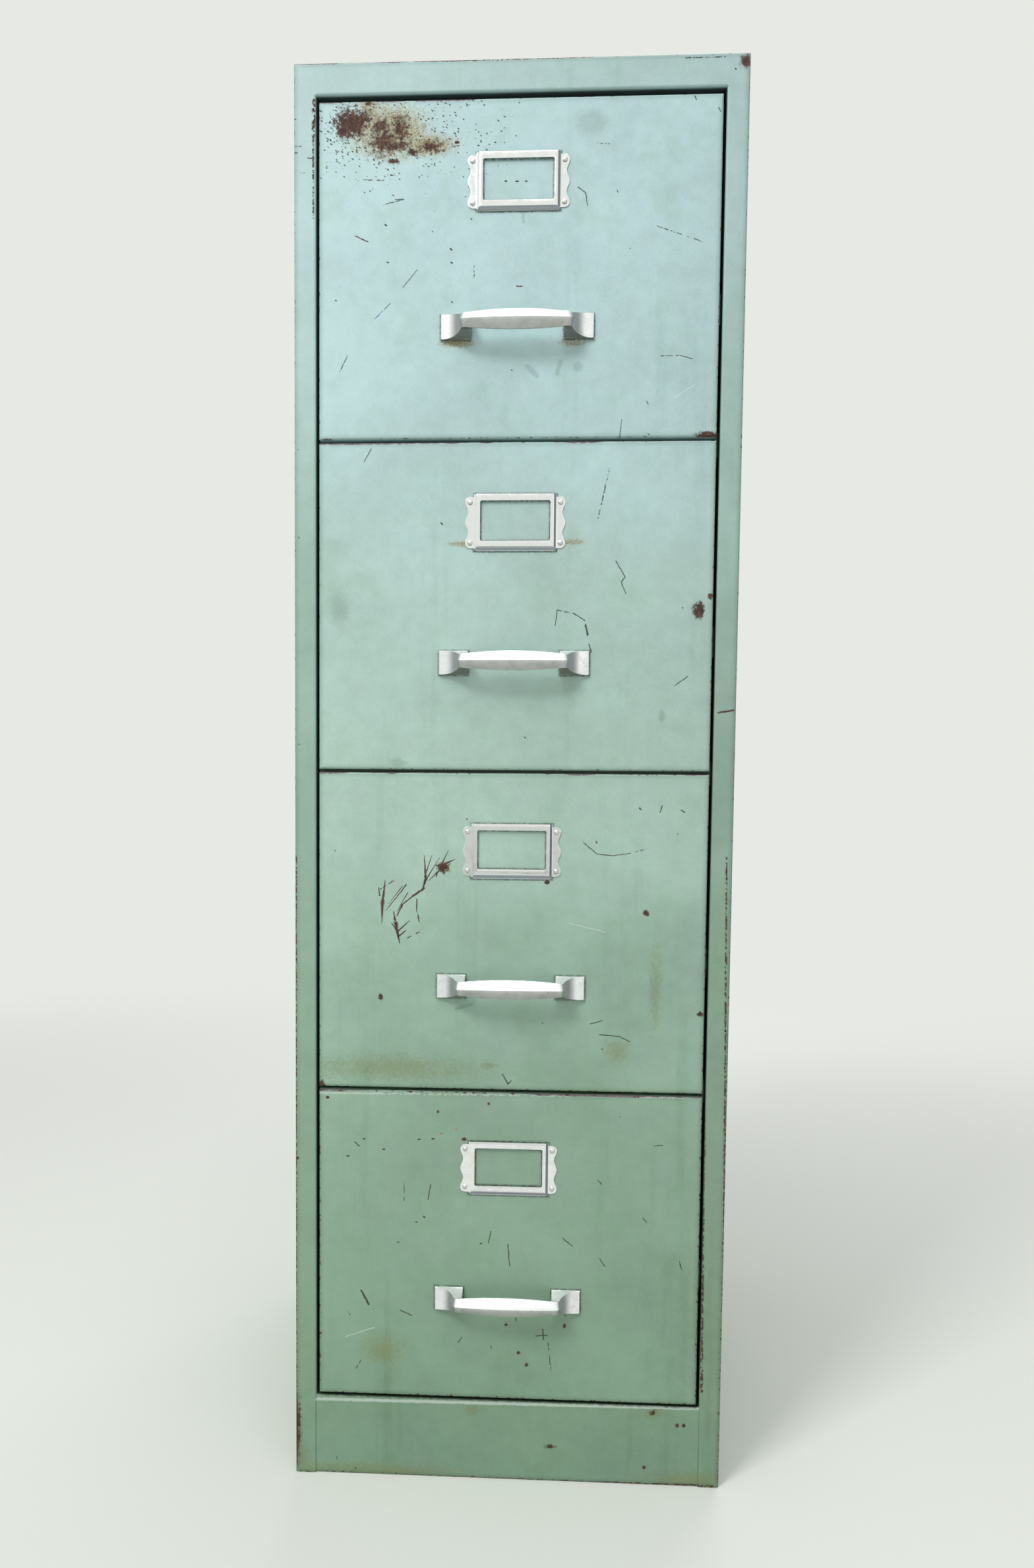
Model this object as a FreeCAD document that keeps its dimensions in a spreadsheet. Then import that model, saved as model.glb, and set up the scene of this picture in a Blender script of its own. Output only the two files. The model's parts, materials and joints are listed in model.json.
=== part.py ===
import FreeCAD, Part
import os
import re
import Sketcher

# A free-standing steel filing cabinet: a casing of folded sheet, four drawers with cast pulls
# and pressed card holders, and a telescopic roller runner on each side of every drawer.
# Lengths are millimetres. X runs to the right, the drawers face -Y and Z is up. The origin is
# on the floor, under the middle of the whole depth, pulls included.

DRAWER_COUNT = 4

# Round pieces that repeat have this many sides, which keeps the whole model light
ROLLER_SIDES = 16
AXLE_SIDES = 8
PIN_SIDES = 6

SIZES = {
    # Casing
    "cabinet_width": 410,
    "cabinet_height": 1320,
    "cabinet_depth": 620,
    "sheet_gauge": 1,
    "bend_radius": 2,
    "stile_width": 20,
    "stile_return": 20,
    "top_rail_height": 28,
    "top_rail_return": 20,
    "rear_rail_height": 20,
    "plinth_height": 78,
    "plinth_return": 26,
    "plinth_setback": 1,
    "floor_skirt": 22,
    # Posts and cross rails inside the casing
    "post_depth": 40,
    "post_gap": 2,
    "cross_rail_height": 22,
    "cross_rail_depth": 20,
    # Drawer fronts
    "front_depth": 18,
    "front_lip": 26,
    "side_gap": 3,
    "drawer_gap": 3,
    "top_gap": 6,
    # Trays
    "tray_gauge": 0.8,
    "tray_rise": 16,
    "tray_height": 250,
    "tray_flange": 8,
    "tray_rear_gap": 20,
    "tray_bend_radius": 1.5,
    # Runners and rollers
    "runner_level": 120,
    "drawer_travel": 520,
    "rail_gauge": 1.2,
    "rail_setback": 1,
    "rail_front_gap": 5,
    "rail_rear_gap": 18,
    "cradle_front_gap": 6,
    "cradle_rear_gap": 15,
    "runner_front_gap": 2,
    "runner_rear_gap": 10,
    "roller_radius": 11,
    "roller_width": 4.6,
    "roller_gap": 0.3,
    "slide_clearance": 0.5,
    "front_axle_place": 40,
    "rear_axle_margin": 20,
    "axle_radius": 3,
    "axle_clearance": 0.05,
    "axle_head_radius": 4.5,
    "axle_head_thickness": 1,
    "axle_head_clearance": 0.4,
    "lug_height": 6,
    "lug_gap": 0.5,
    # Rubber buffers on the back panel
    "buffer_radius": 7,
    "buffer_gap": 0.3,
    "buffer_spread": 100,
    "buffer_level": 60,
    # Cast pulls
    "pull_length": 139,
    "pull_reach": 28,
    "pull_level": 98.5,
    "foot_length": 27,
    "foot_height": 22,
    "foot_edge": 3,
    "neck_inset": 18,
    "neck_reach": 24.5,
    "neck_height": 12.4,
    "grip_height": 18,
    "grip_thickness": 12,
    "grip_edge_setback": 6,
    # Screws that hold the pulls
    "screw_radius": 2,
    "screw_depth": 7,
    "screw_head_radius": 4,
    "screw_head_thickness": 2.4,
    "screw_clearance": 0.25,
    "thread_clearance": 0.05,
    # Card holders
    "holder_length": 92,
    "holder_height": 51.5,
    "holder_level": 73,
    "holder_gauge": 0.8,
    "holder_rise": 2.6,
    "holder_frame_length": 76,
    "window_length": 64.5,
    "window_height": 36.3,
    "window_drop": 6,
    "window_corner": 1.2,
    "ear_radius": 4.5,
    "ear_waist": 2.8,
    "ear_middle": 3.2,
    "rivet_spread": 18.6,
    # Rivets that hold the card holders
    "rivet_radius": 1.5,
    "rivet_head_radius": 2.4,
    "rivet_head_height": 1.4,
    "rivet_clearance": 0.1,
}

# How much of its depth the raised frame of a card holder slopes, chosen by eye
STEP_SHARE = 0.85

# Places this close together count as one
CLOSE = 0.01

# Sizes and places worked out from the ones above
WORKED_OUT = {
    "front_plane": "(pull_reach - cabinet_depth) / 2",
    "half_width": "cabinet_width / 2",
    "side_inner": "half_width - sheet_gauge",
    "opening_half": "half_width - stile_width",
    "opening_top": "cabinet_height - top_rail_height",
    "back_inner": "cabinet_depth - 2 * sheet_gauge",
    "floor_top": "plinth_height - sheet_gauge",
    "front_half": "opening_half - side_gap",
    "fronts_height": f"opening_top - top_gap - plinth_height - {DRAWER_COUNT} * drawer_gap",
    "front_height": f"fronts_height / {DRAWER_COUNT}",
    "roller_room": "roller_width + axle_head_clearance + axle_head_thickness",
    "channel_back": "opening_half + rail_setback",
    "channel_web": "channel_back - rail_gauge",
    "outer_roller_far": "channel_web - slide_clearance",
    "outer_roller_near": "outer_roller_far - roller_room",
    "cradle_outer": "outer_roller_near - slide_clearance",
    "cradle_inner": "cradle_outer - rail_gauge",
    "inner_roller_far": "cradle_inner - slide_clearance",
    "inner_roller_near": "inner_roller_far - roller_room",
    "runner_outer": "inner_roller_near - slide_clearance",
    "tray_half": "runner_outer - rail_gauge",
    "tray_rear": "back_inner - tray_rear_gap",
    "tray_top": "tray_rise + tray_height",
    "track_half": "roller_radius + roller_gap",
    "inner_drop": "rail_gauge + slide_clearance",
    "channel_top": "track_half + 2 * rail_gauge + slide_clearance",
    "channel_foot": "track_half + rail_gauge",
    "cradle_foot": "track_half + inner_drop + rail_gauge",
    "runner_top": "track_half + rail_gauge - inner_drop",
    "runner_foot": "roller_radius + inner_drop",
    "channel_front": "stile_return + rail_front_gap",
    "channel_rear": "back_inner - rail_rear_gap",
    "cradle_front": "front_depth + cradle_front_gap",
    "cradle_rear": "channel_rear - cradle_rear_gap",
    "runner_front": "front_depth + runner_front_gap",
    "runner_rear": "channel_rear - runner_rear_gap",
    "rear_axle_place": "cradle_rear - rear_axle_margin",
    "lug_place": "rear_axle_place - drawer_travel / 2 - roller_radius - lug_gap - rail_gauge",
    "axle_reach": "slide_clearance + roller_width + axle_head_clearance",
    "bore_radius": "axle_radius + axle_clearance",
    "pull_half": "pull_length / 2",
    "foot_inner": "pull_half - foot_length",
    "foot_middle": "pull_half - foot_length / 2",
    "neck_place": "pull_half - neck_inset",
    "frame_half": "holder_frame_length / 2",
    "holder_half": "holder_height / 2",
    "rivet_place": "holder_length / 2 - ear_radius",
    "ear_half": "rivet_spread + ear_radius",
    "step_width": f"{STEP_SHARE} * (holder_rise - holder_gauge)",
    "window_foot": "holder_half - window_drop - window_height",
}

# Where a point on the pull's curves lies between its two ends, chosen by eye
FOOT_DEPTH_SHARES = (0, 0.09, 0.24, 0.55, 1)
FOOT_DRAW_SHARES = (0, 0.34, 0.62, 0.89, 1)
SHOULDER_SHARE = 0.5
GRIP_PLACE_SHARES = (0, 0.28, 0.54, 0.78, 1)
GRIP_SWELL_SHARES = (1, 0.92, 0.71, 0.39, 0)
GRIP_BULGE_SHARE = 0.62
GRIP_BACK_SHARE = 0.5

doc = FreeCAD.newDocument("FilingCabinet")
sheet = doc.addObject("Spreadsheet::Sheet", "Sizes")
for row, (size_name, size) in enumerate(SIZES.items(), start=1):
    sheet.set(f"A{row}", size_name)
    sheet.set(f"B{row}", str(size))
    sheet.setAlias(f"B{row}", size_name)
doc.recompute()

nodes = []


def formula(text):
    """The same sum with every size spelled out as a cell of the sheet."""

    def spell(match):
        word = match.group(0)
        if word in WORKED_OUT:
            return f"({formula(WORKED_OUT[word])})"
        return f"Sizes.{word}" if word in SIZES else word

    return re.sub(r"[a-z][a-z_]*", spell, text)


def measure(text):
    """What a sum of sizes comes to, in millimetres."""
    return float(sheet.evalExpression(formula(text)))


def keep(item, label):
    """Name a finished sub-part, so that it gets a file of its own."""
    item.Label = label
    nodes.append(item)


def place(item, x="0", y="front_plane", z="0"):
    """Tie the place of a sub-part to the sheet."""
    item.setExpression("Placement.Base.x", formula(x))
    item.setExpression("Placement.Base.y", formula(y))
    item.setExpression("Placement.Base.z", formula(z))


def make_body(name):
    return doc.addObject("PartDesign::Body", name)


def origin_plane(body, role):
    return next(item for item in body.Origin.OriginFeatures if item.Role == role)


def bind_point(sketch, geometry, end, point):
    """Hold one point of a sketch at a place given as two sums of sizes."""
    for kind, text in zip(("DistanceX", "DistanceY"), point):
        held = sketch.addConstraint(
            Sketcher.Constraint(kind, -1, 1, geometry, end, measure(text))
        )
        sketch.setExpression(f"Constraints[{held}]", formula(text))


def to_vector(point):
    return FreeCAD.Vector(measure(point[0]), measure(point[1]), 0)


def draw_outline(sketch, outline):
    """Draw a closed outline: a corner is (x, y), an arc is ((x, y) on the way, (x, y) at its end)."""
    steps = [step if isinstance(step[0], tuple) else (None, step) for step in outline]
    starts = [steps[index - 1][1] for index in range(len(steps))]
    drawn = []
    for start, (on_the_way, end) in zip(starts, steps):
        first = to_vector(start)
        if on_the_way is None:
            geometry = sketch.addGeometry(Part.LineSegment(first, to_vector(end)), False)
        else:
            arc = Part.Arc(first, to_vector(on_the_way), to_vector(end))
            geometry = sketch.addGeometry(arc, False)
        along = sketch.getPoint(geometry, 1).isEqual(first, CLOSE)
        drawn.append((geometry, 1 if along else 2, 2 if along else 1))
    for index, (geometry, head, tail) in enumerate(drawn):
        before = drawn[index - 1]
        sketch.addConstraint(
            Sketcher.Constraint("Coincident", before[0], before[2], geometry, head)
        )
        bind_point(sketch, geometry, head, starts[index])
    for (geometry, _, _), (on_the_way, _) in zip(drawn, steps):
        if on_the_way is not None:
            guide = sketch.addGeometry(Part.Point(to_vector(on_the_way)), True)
            bind_point(sketch, guide, 1, on_the_way)
            sketch.addConstraint(
                Sketcher.Constraint("PointOnObject", guide, 1, geometry)
            )


def make_sketch(body, name, role, outlines, offset="0"):
    """A sketch on one of the body's own origin planes, moved along its normal by the offset."""
    sketch = body.newObject("Sketcher::SketchObject", name)
    sketch.AttachmentSupport = [(origin_plane(body, role), "")]
    sketch.MapMode = "FlatFace"
    sketch.setExpression("AttachmentOffset.Base.z", formula(offset))
    for outline in outlines:
        draw_outline(sketch, outline)
    return sketch


def rectangle(left, bottom, right, top):
    return [(left, bottom), (right, bottom), (right, top), (left, top)]


def polygon(x, y, radius, sides):
    """An outline of equal sides with its corners at the radius."""
    turn = 360 / sides
    return [
        (
            f"{x} + ({radius}) * cos({index * turn})",
            f"{y} + ({radius}) * sin({index * turn})",
        )
        for index in range(sides)
    ]


def clear_of(radius, sides):
    """The corner radius of a hole whose flat sides lie at the given radius."""
    return f"({radius}) / cos({180 / sides})"


def extrude(kind, body, name, sketch, length, backwards, symmetric=False):
    feature = body.newObject(kind, name)
    feature.Profile = sketch
    feature.setExpression("Length", formula(length))
    feature.Reversed = backwards
    if symmetric:
        feature.SideType = "Symmetric"
    doc.recompute()
    return feature


def make_pad(body, name, sketch, length, backwards=False, symmetric=False):
    """Sheet or bar along the normal of the sketch, or against it where backwards."""
    return extrude("PartDesign::Pad", body, name, sketch, length, backwards, symmetric)


def make_pocket(body, name, sketch, length, backwards=False):
    """A cut against the normal of the sketch, or along it where backwards."""
    before = body.Tip.Shape.Volume
    pocket = extrude("PartDesign::Pocket", body, name, sketch, length, backwards)
    if pocket.Shape.Volume >= before:
        raise RuntimeError(f"{body.Name}: {name} cuts nothing")
    return pocket


def find_edges(feature, **where):
    """Names of the straight edges that lie at the given x, y or z."""
    found = []
    for number, edge in enumerate(feature.Shape.Edges, start=1):
        box = edge.BoundBox
        ends = {
            "x": (box.XMin, box.XMax),
            "y": (box.YMin, box.YMax),
            "z": (box.ZMin, box.ZMax),
        }
        fits = edge.Curve.TypeId == "Part::GeomLine"
        for axis, wanted in where.items():
            level = measure(wanted)
            fits = fits and all(abs(end - level) < CLOSE for end in ends[axis])
        if fits:
            found.append(f"Edge{number}")
    if not found:
        raise RuntimeError(f"{feature.Name}: no edge at {where}")
    return found


def round_edges(body, name, edges, radius="bend_radius"):
    base = body.Tip
    feature = body.newObject("PartDesign::Fillet", name)
    feature.Base = (base, edges)
    feature.setExpression("Radius", formula(radius))
    doc.recompute()


def bevel_edges(body, name, edges, size):
    base = body.Tip
    feature = body.newObject("PartDesign::Chamfer", name)
    feature.Base = (base, edges)
    feature.setExpression("Size", formula(size))
    doc.recompute()


def mirror_across(body, features):
    """Repeat features of the right side on the left."""
    mirror = body.newObject("PartDesign::Mirrored", "LeftSide")
    mirror.Originals = features
    mirror.MirrorPlane = (origin_plane(body, "YZ_Plane"), [""])
    body.Tip = mirror
    doc.recompute()


def make_group(name, items):
    group = doc.addObject("Part::Compound", name)
    group.Links = items
    return group


# Casing


def make_side(name, label, side):
    """One side with its front stile, rear flange, top and bottom flanges, folded from one sheet."""

    def across(text):
        return f"{side} * ({text})"

    body = make_body(name)
    lower = [
        (across("half_width"), "0"),
        (across("half_width"), "cabinet_depth"),
        (across("opening_half"), "cabinet_depth"),
        (across("opening_half"), "cabinet_depth - sheet_gauge"),
        (across("side_inner"), "cabinet_depth - sheet_gauge"),
        (across("side_inner"), "sheet_gauge"),
        (across("opening_half + sheet_gauge"), "sheet_gauge"),
        (across("opening_half + sheet_gauge"), "stile_return"),
        (across("opening_half"), "stile_return"),
        (across("opening_half"), "0"),
    ]
    upper = lower[:6] + [(across("opening_half"), "sheet_gauge"), lower[9]]
    sketch = make_sketch(body, "PlanBesideOpening", "XY_Plane", [lower])
    wall = make_pad(body, "BesideOpening", sketch, "opening_top")
    stile_edge = find_edges(wall, x=across("opening_half"), y="0")
    round_edges(body, "StileBend", stile_edge)
    sketch = make_sketch(
        body, "PlanBesideTopRail", "XY_Plane", [upper], offset="opening_top"
    )
    make_pad(body, "BesideTopRail", sketch, "top_rail_height")
    flange = rectangle(
        across("opening_half"), "0", across("half_width"), "cabinet_depth"
    )
    sketch = make_sketch(
        body, "TopFlangePlan", "XY_Plane", [flange], offset="cabinet_height - sheet_gauge"
    )
    make_pad(body, "TopFlange", sketch, "sheet_gauge")
    inner = rectangle(
        across("opening_half"), "sheet_gauge", across("side_inner"), "cabinet_depth - sheet_gauge"
    )
    sketch = make_sketch(body, "BottomFlangePlan", "XY_Plane", [inner])
    folded = make_pad(body, "BottomFlange", sketch, "sheet_gauge")
    bends = find_edges(folded, x=across("half_width"), y="0")
    bends += find_edges(folded, y="0", z="cabinet_height")
    round_edges(body, "Bends", bends)
    place(body)
    keep(body, label)


def make_top_panel():
    """The top with its front rail and rear rail, between the flanges of the sides."""
    body = make_body("TopPanel")
    profile = [
        ("0", "cabinet_height"),
        ("cabinet_depth", "cabinet_height"),
        ("cabinet_depth", "cabinet_height - rear_rail_height"),
        ("cabinet_depth - sheet_gauge", "cabinet_height - rear_rail_height"),
        ("cabinet_depth - sheet_gauge", "cabinet_height - sheet_gauge"),
        ("sheet_gauge", "cabinet_height - sheet_gauge"),
        ("sheet_gauge", "opening_top + sheet_gauge"),
        ("top_rail_return", "opening_top + sheet_gauge"),
        ("top_rail_return", "opening_top"),
        ("0", "opening_top"),
    ]
    sketch = make_sketch(body, "Profile", "YZ_Plane", [profile])
    sheet_metal = make_pad(body, "Sheet", sketch, "2 * opening_half", symmetric=True)
    bends = find_edges(sheet_metal, y="0", z="cabinet_height")
    bends += find_edges(sheet_metal, y="0", z="opening_top")
    round_edges(body, "Bends", bends)
    place(body)
    keep(body, "top_panel")


def make_back_panel():
    body = make_body("BackPanel")
    panel = rectangle(
        "-side_inner", "sheet_gauge", "side_inner", "cabinet_height - sheet_gauge"
    )
    sketch = make_sketch(body, "Outline", "XZ_Plane", [panel], offset="-back_inner")
    make_pad(body, "Sheet", sketch, "sheet_gauge", backwards=True)
    place(body)
    keep(body, "back_panel")


def make_plinth():
    """The panel under the lowest drawer, with a flange at its top and at the floor."""
    body = make_body("Plinth")
    profile = [
        ("plinth_setback", "0"),
        ("plinth_setback", "plinth_height"),
        ("plinth_return", "plinth_height"),
        ("plinth_return", "plinth_height - sheet_gauge"),
        ("plinth_setback + sheet_gauge", "plinth_height - sheet_gauge"),
        ("plinth_setback + sheet_gauge", "sheet_gauge"),
        ("plinth_return", "sheet_gauge"),
        ("plinth_return", "0"),
    ]
    sketch = make_sketch(body, "Profile", "YZ_Plane", [profile])
    panel = make_pad(body, "Sheet", sketch, "2 * opening_half", symmetric=True)
    bends = find_edges(panel, y="plinth_setback", z="plinth_height")
    bends += find_edges(panel, y="plinth_setback", z="0")
    round_edges(body, "Bends", bends)
    place(body)
    keep(body, "plinth")


def make_cabinet_floor():
    """The floor under the lowest tray, with a skirt turned down along each side."""
    body = make_body("CabinetFloor")
    profile = [
        ("-side_inner", "floor_top"),
        ("side_inner", "floor_top"),
        ("side_inner", "floor_top - floor_skirt"),
        ("side_inner - sheet_gauge", "floor_top - floor_skirt"),
        ("side_inner - sheet_gauge", "floor_top - sheet_gauge"),
        ("-side_inner + sheet_gauge", "floor_top - sheet_gauge"),
        ("-side_inner + sheet_gauge", "floor_top - floor_skirt"),
        ("-side_inner", "floor_top - floor_skirt"),
    ]
    sketch = make_sketch(body, "Profile", "XZ_Plane", [profile], offset="-stile_return")
    make_pad(body, "Sheet", sketch, "back_inner - stile_return", backwards=True)
    place(body)
    keep(body, "cabinet_floor")


def make_post(name, front):
    """A pair of channel posts, one each side, that carry the runners."""
    body = make_body(name)
    rear = f"({front}) + post_depth"
    section = [
        ("channel_back", front),
        ("side_inner", front),
        ("side_inner", f"{front} + sheet_gauge"),
        ("channel_back + sheet_gauge", f"{front} + sheet_gauge"),
        ("channel_back + sheet_gauge", f"{rear} - sheet_gauge"),
        ("side_inner", f"{rear} - sheet_gauge"),
        ("side_inner", rear),
        ("channel_back", rear),
    ]
    sketch = make_sketch(body, "Section", "XY_Plane", [section], offset="floor_top")
    post = make_pad(body, "Post", sketch, "cabinet_height - sheet_gauge - floor_top")
    mirror_across(body, [post])
    place(body)
    return body


def make_cross_rails():
    """Channel rails across the front, one behind each gap between two drawer fronts."""
    rails = []
    for number in range(1, DRAWER_COUNT):
        body = make_body(f"CrossRail{number}")
        front = "stile_return + post_gap"
        rear = f"{front} + cross_rail_depth"
        half = "cross_rail_height / 2"
        section = [
            (front, f"-{half}"),
            (rear, f"-{half}"),
            (rear, f"-{half} + sheet_gauge"),
            (f"{front} + sheet_gauge", f"-{half} + sheet_gauge"),
            (f"{front} + sheet_gauge", f"{half} - sheet_gauge"),
            (rear, f"{half} - sheet_gauge"),
            (rear, half),
            (front, half),
        ]
        sketch = make_sketch(body, "Section", "YZ_Plane", [section])
        make_pad(body, "Rail", sketch, "2 * channel_back", symmetric=True)
        place(body, z=f"{drawer_base(number)} - drawer_gap / 2")
        rails.append(body)
    keep(make_group("CrossRails", rails), "cross_rails")


# Runners


def drawer_base(number):
    """Height of a drawer front's lower edge. Drawer 1 is at the top."""
    return f"plinth_height + drawer_gap + {DRAWER_COUNT - number} * (front_height + drawer_gap)"


def add_axle(body, name, side, x, y, z):
    """A fixed axle that stands out of a rail, with the head that keeps its roller on."""
    backwards = side < 0
    section = polygon(y, z, "axle_radius", AXLE_SIDES)
    sketch = make_sketch(body, f"{name}ShankSection", "YZ_Plane", [section], offset=x)
    shank = make_pad(body, f"{name}Shank", sketch, "axle_reach", backwards)
    section = polygon(y, z, "axle_head_radius", AXLE_SIDES)
    head_place = f"{x} + {side} * (axle_reach)"
    sketch = make_sketch(
        body, f"{name}HeadSection", "YZ_Plane", [section], offset=head_place
    )
    head = make_pad(body, f"{name}Head", sketch, "axle_head_thickness", backwards)
    return [shank, head]


def add_lug(body, left, right, foot):
    """The turned-up lug that a roller meets when the drawer is fully out."""
    tab = rectangle(left, foot, right, f"{foot} + lug_height")
    sketch = make_sketch(body, "LugOutline", "XZ_Plane", [tab], offset="-lug_place")
    return make_pad(body, "Lug", sketch, "rail_gauge", backwards=True)


def make_channel(number):
    """The pair of fixed channels of one drawer, each with its front roller's axle."""
    body = make_body(f"Channel{number}")
    section = [
        ("channel_back", "-channel_foot"),
        ("channel_back", "channel_top"),
        ("outer_roller_near", "channel_top"),
        ("outer_roller_near", "channel_top - rail_gauge"),
        ("channel_web", "channel_top - rail_gauge"),
        ("channel_web", "-track_half"),
        ("outer_roller_near", "-track_half"),
        ("outer_roller_near", "-channel_foot"),
    ]
    sketch = make_sketch(body, "Section", "XZ_Plane", [section], offset="-channel_front")
    rail = make_pad(body, "Rail", sketch, "channel_rear - channel_front", backwards=True)
    features = [rail] + add_axle(body, "Axle", -1, "channel_web", "front_axle_place", "0")
    features.append(add_lug(body, "outer_roller_near", "channel_web", "-track_half"))
    mirror_across(body, features)
    place(body, z=f"{drawer_base(number)} + runner_level")
    return body


def make_cradle(number):
    """The pair of middle members of one drawer, each with a front and a rear axle."""
    body = make_body(f"Cradle{number}")
    section = [
        ("cradle_outer", "-cradle_foot"),
        ("cradle_outer", "track_half"),
        ("outer_roller_far", "track_half"),
        ("outer_roller_far", "track_half + rail_gauge"),
        ("inner_roller_near", "track_half + rail_gauge"),
        ("inner_roller_near", "track_half"),
        ("cradle_inner", "track_half"),
        ("cradle_inner", "-cradle_foot + rail_gauge"),
        ("inner_roller_near", "-cradle_foot + rail_gauge"),
        ("inner_roller_near", "-cradle_foot"),
    ]
    sketch = make_sketch(body, "Section", "XZ_Plane", [section], offset="-cradle_front")
    rail = make_pad(body, "Rail", sketch, "cradle_rear - cradle_front", backwards=True)
    features = [rail]
    features += add_axle(
        body, "FrontAxle", -1, "cradle_inner", "front_axle_place", "-inner_drop"
    )
    features += add_axle(body, "RearAxle", 1, "cradle_outer", "rear_axle_place", "0")
    features.append(
        add_lug(body, "inner_roller_near", "cradle_inner", "-cradle_foot + rail_gauge")
    )
    mirror_across(body, features)
    place(body, z=f"{drawer_base(number)} + runner_level")
    keep(body, f"cradle_{number}")


def make_runner(number):
    """The pair of runners on one tray, each with its rear roller's axle."""
    body = make_body(f"Runner{number}")
    section = [
        ("tray_half", "-runner_foot"),
        ("tray_half", "runner_top"),
        ("inner_roller_far", "runner_top"),
        ("inner_roller_far", "runner_top - rail_gauge"),
        ("runner_outer", "runner_top - rail_gauge"),
        ("runner_outer", "-runner_foot"),
    ]
    sketch = make_sketch(body, "Section", "XZ_Plane", [section], offset="-runner_front")
    rail = make_pad(body, "Rail", sketch, "runner_rear - runner_front", backwards=True)
    features = [rail] + add_axle(
        body, "Axle", 1, "runner_outer", "rear_axle_place", "-inner_drop"
    )
    mirror_across(body, features)
    place(body, z=f"{drawer_base(number)} + runner_level")
    keep(body, f"drawer_{number}_runners")


def make_rollers(number, label, side, face, y, drop="0"):
    """A pair of rollers. The face is the one next to the rail that carries their axle."""
    body = make_body(f"Rollers{len(nodes)}")
    rim = polygon("0", "0", "roller_radius", ROLLER_SIDES)
    bore = polygon("0", "0", clear_of("bore_radius", AXLE_SIDES), AXLE_SIDES)
    near = f"{face} + {side} * slide_clearance"
    sketch = make_sketch(body, "Section", "YZ_Plane", [rim, bore], offset=near)
    roller = make_pad(body, "Roller", sketch, "roller_width", backwards=side < 0)
    mirror_across(body, [roller])
    place(
        body,
        y=f"front_plane + {y}",
        z=f"{drawer_base(number)} + runner_level - ({drop})",
    )
    keep(body, label)


# Drawers


def screw_places():
    """Where the two screws of a pull go through its drawer front."""
    return [("foot_middle", "pull_level"), ("-foot_middle", "pull_level")]


def rivet_places(middle):
    """Where the four rivets of a card holder sit round a middle at the given height."""
    return [
        (f"{side} * (rivet_place)", f"{middle} + {rise} * rivet_spread")
        for side in (-1, 1)
        for rise in (-1, 1)
    ]


def make_front(number):
    """The drawer front: a pan with a lip down each side, drilled for the screws and rivets."""
    body = make_body(f"Front{number}")
    face = rectangle("-front_half", "0", "front_half", "front_height")
    sketch = make_sketch(body, "Face", "XZ_Plane", [face])
    block = make_pad(body, "Block", sketch, "front_depth", backwards=True)
    bends = find_edges(block, x="front_half", y="0")
    bends += find_edges(block, x="-front_half", y="0")
    bends += find_edges(block, y="0", z="0")
    bends += find_edges(block, y="0", z="front_height")
    round_edges(body, "Bends", bends)
    inner_half = "front_half - sheet_gauge"
    inner_top = "front_height - sheet_gauge"
    hollow = rectangle(f"-({inner_half})", "sheet_gauge", inner_half, inner_top)
    sketch = make_sketch(body, "Inside", "XZ_Plane", [hollow], offset="-front_depth")
    make_pocket(body, "Hollow", sketch, "front_depth - sheet_gauge", backwards=True)
    lip_edge = "front_half - front_lip"
    lips = [
        rectangle(lip_edge, "sheet_gauge", inner_half, inner_top),
        rectangle(f"-({inner_half})", "sheet_gauge", f"-({lip_edge})", inner_top),
    ]
    sketch = make_sketch(
        body, "LipOutlines", "XZ_Plane", lips, offset="sheet_gauge - front_depth"
    )
    make_pad(body, "Lips", sketch, "sheet_gauge", backwards=True)
    screw_hole = clear_of("screw_radius + screw_clearance", PIN_SIDES)
    rivet_hole = clear_of("rivet_radius + rivet_clearance", PIN_SIDES)
    holes = [polygon(x, z, screw_hole, PIN_SIDES) for x, z in screw_places()]
    rivets = rivet_places("front_height - holder_level")
    holes += [polygon(x, z, rivet_hole, PIN_SIDES) for x, z in rivets]
    sketch = make_sketch(body, "HoleOutlines", "XZ_Plane", holes)
    make_pocket(body, "Holes", sketch, "sheet_gauge")
    place(body, z=drawer_base(number))
    keep(body, f"drawer_{number}_front")


def make_tray(number):
    """The tray behind a front: a folded sheet with its upper edges turned out, and two ends."""
    shell = make_body(f"Tray{number}")
    outer_edge = "tray_half + tray_flange"
    inner_half = "tray_half - tray_gauge"
    flange_foot = "tray_top - tray_gauge"
    floor = "tray_rise + tray_gauge"
    section = [
        (f"-({outer_edge})", "tray_top"),
        (f"-({inner_half})", "tray_top"),
        (f"-({inner_half})", floor),
        (inner_half, floor),
        (inner_half, "tray_top"),
        (outer_edge, "tray_top"),
        (outer_edge, flange_foot),
        ("tray_half", flange_foot),
        ("tray_half", "tray_rise"),
        ("-tray_half", "tray_rise"),
        ("-tray_half", flange_foot),
        (f"-({outer_edge})", flange_foot),
    ]
    sketch = make_sketch(shell, "Section", "XZ_Plane", [section], offset="-front_depth")
    folded = make_pad(shell, "Sheet", sketch, "tray_rear - front_depth", backwards=True)
    bends = find_edges(folded, x="tray_half", z="tray_rise")
    bends += find_edges(folded, x="-tray_half", z="tray_rise")
    round_edges(shell, "Bends", bends, "tray_bend_radius")
    pieces = [shell]
    outline = rectangle(f"-({inner_half})", floor, inner_half, "tray_top")
    for name, face in (("Front", "front_depth"), ("Rear", "tray_rear - tray_gauge")):
        panel = make_body(f"Tray{name}End{number}")
        sketch = make_sketch(panel, "Outline", "XZ_Plane", [outline], offset=f"-({face})")
        make_pad(panel, "Panel", sketch, "tray_gauge", backwards=True)
        pieces.append(panel)
    for piece in pieces:
        place(piece, z=drawer_base(number))
    keep(make_group(f"TrayPieces{number}", pieces), f"drawer_{number}_tray")


def between(start, end, share):
    return f"({start}) + {share} * (({end}) - ({start}))"


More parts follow.
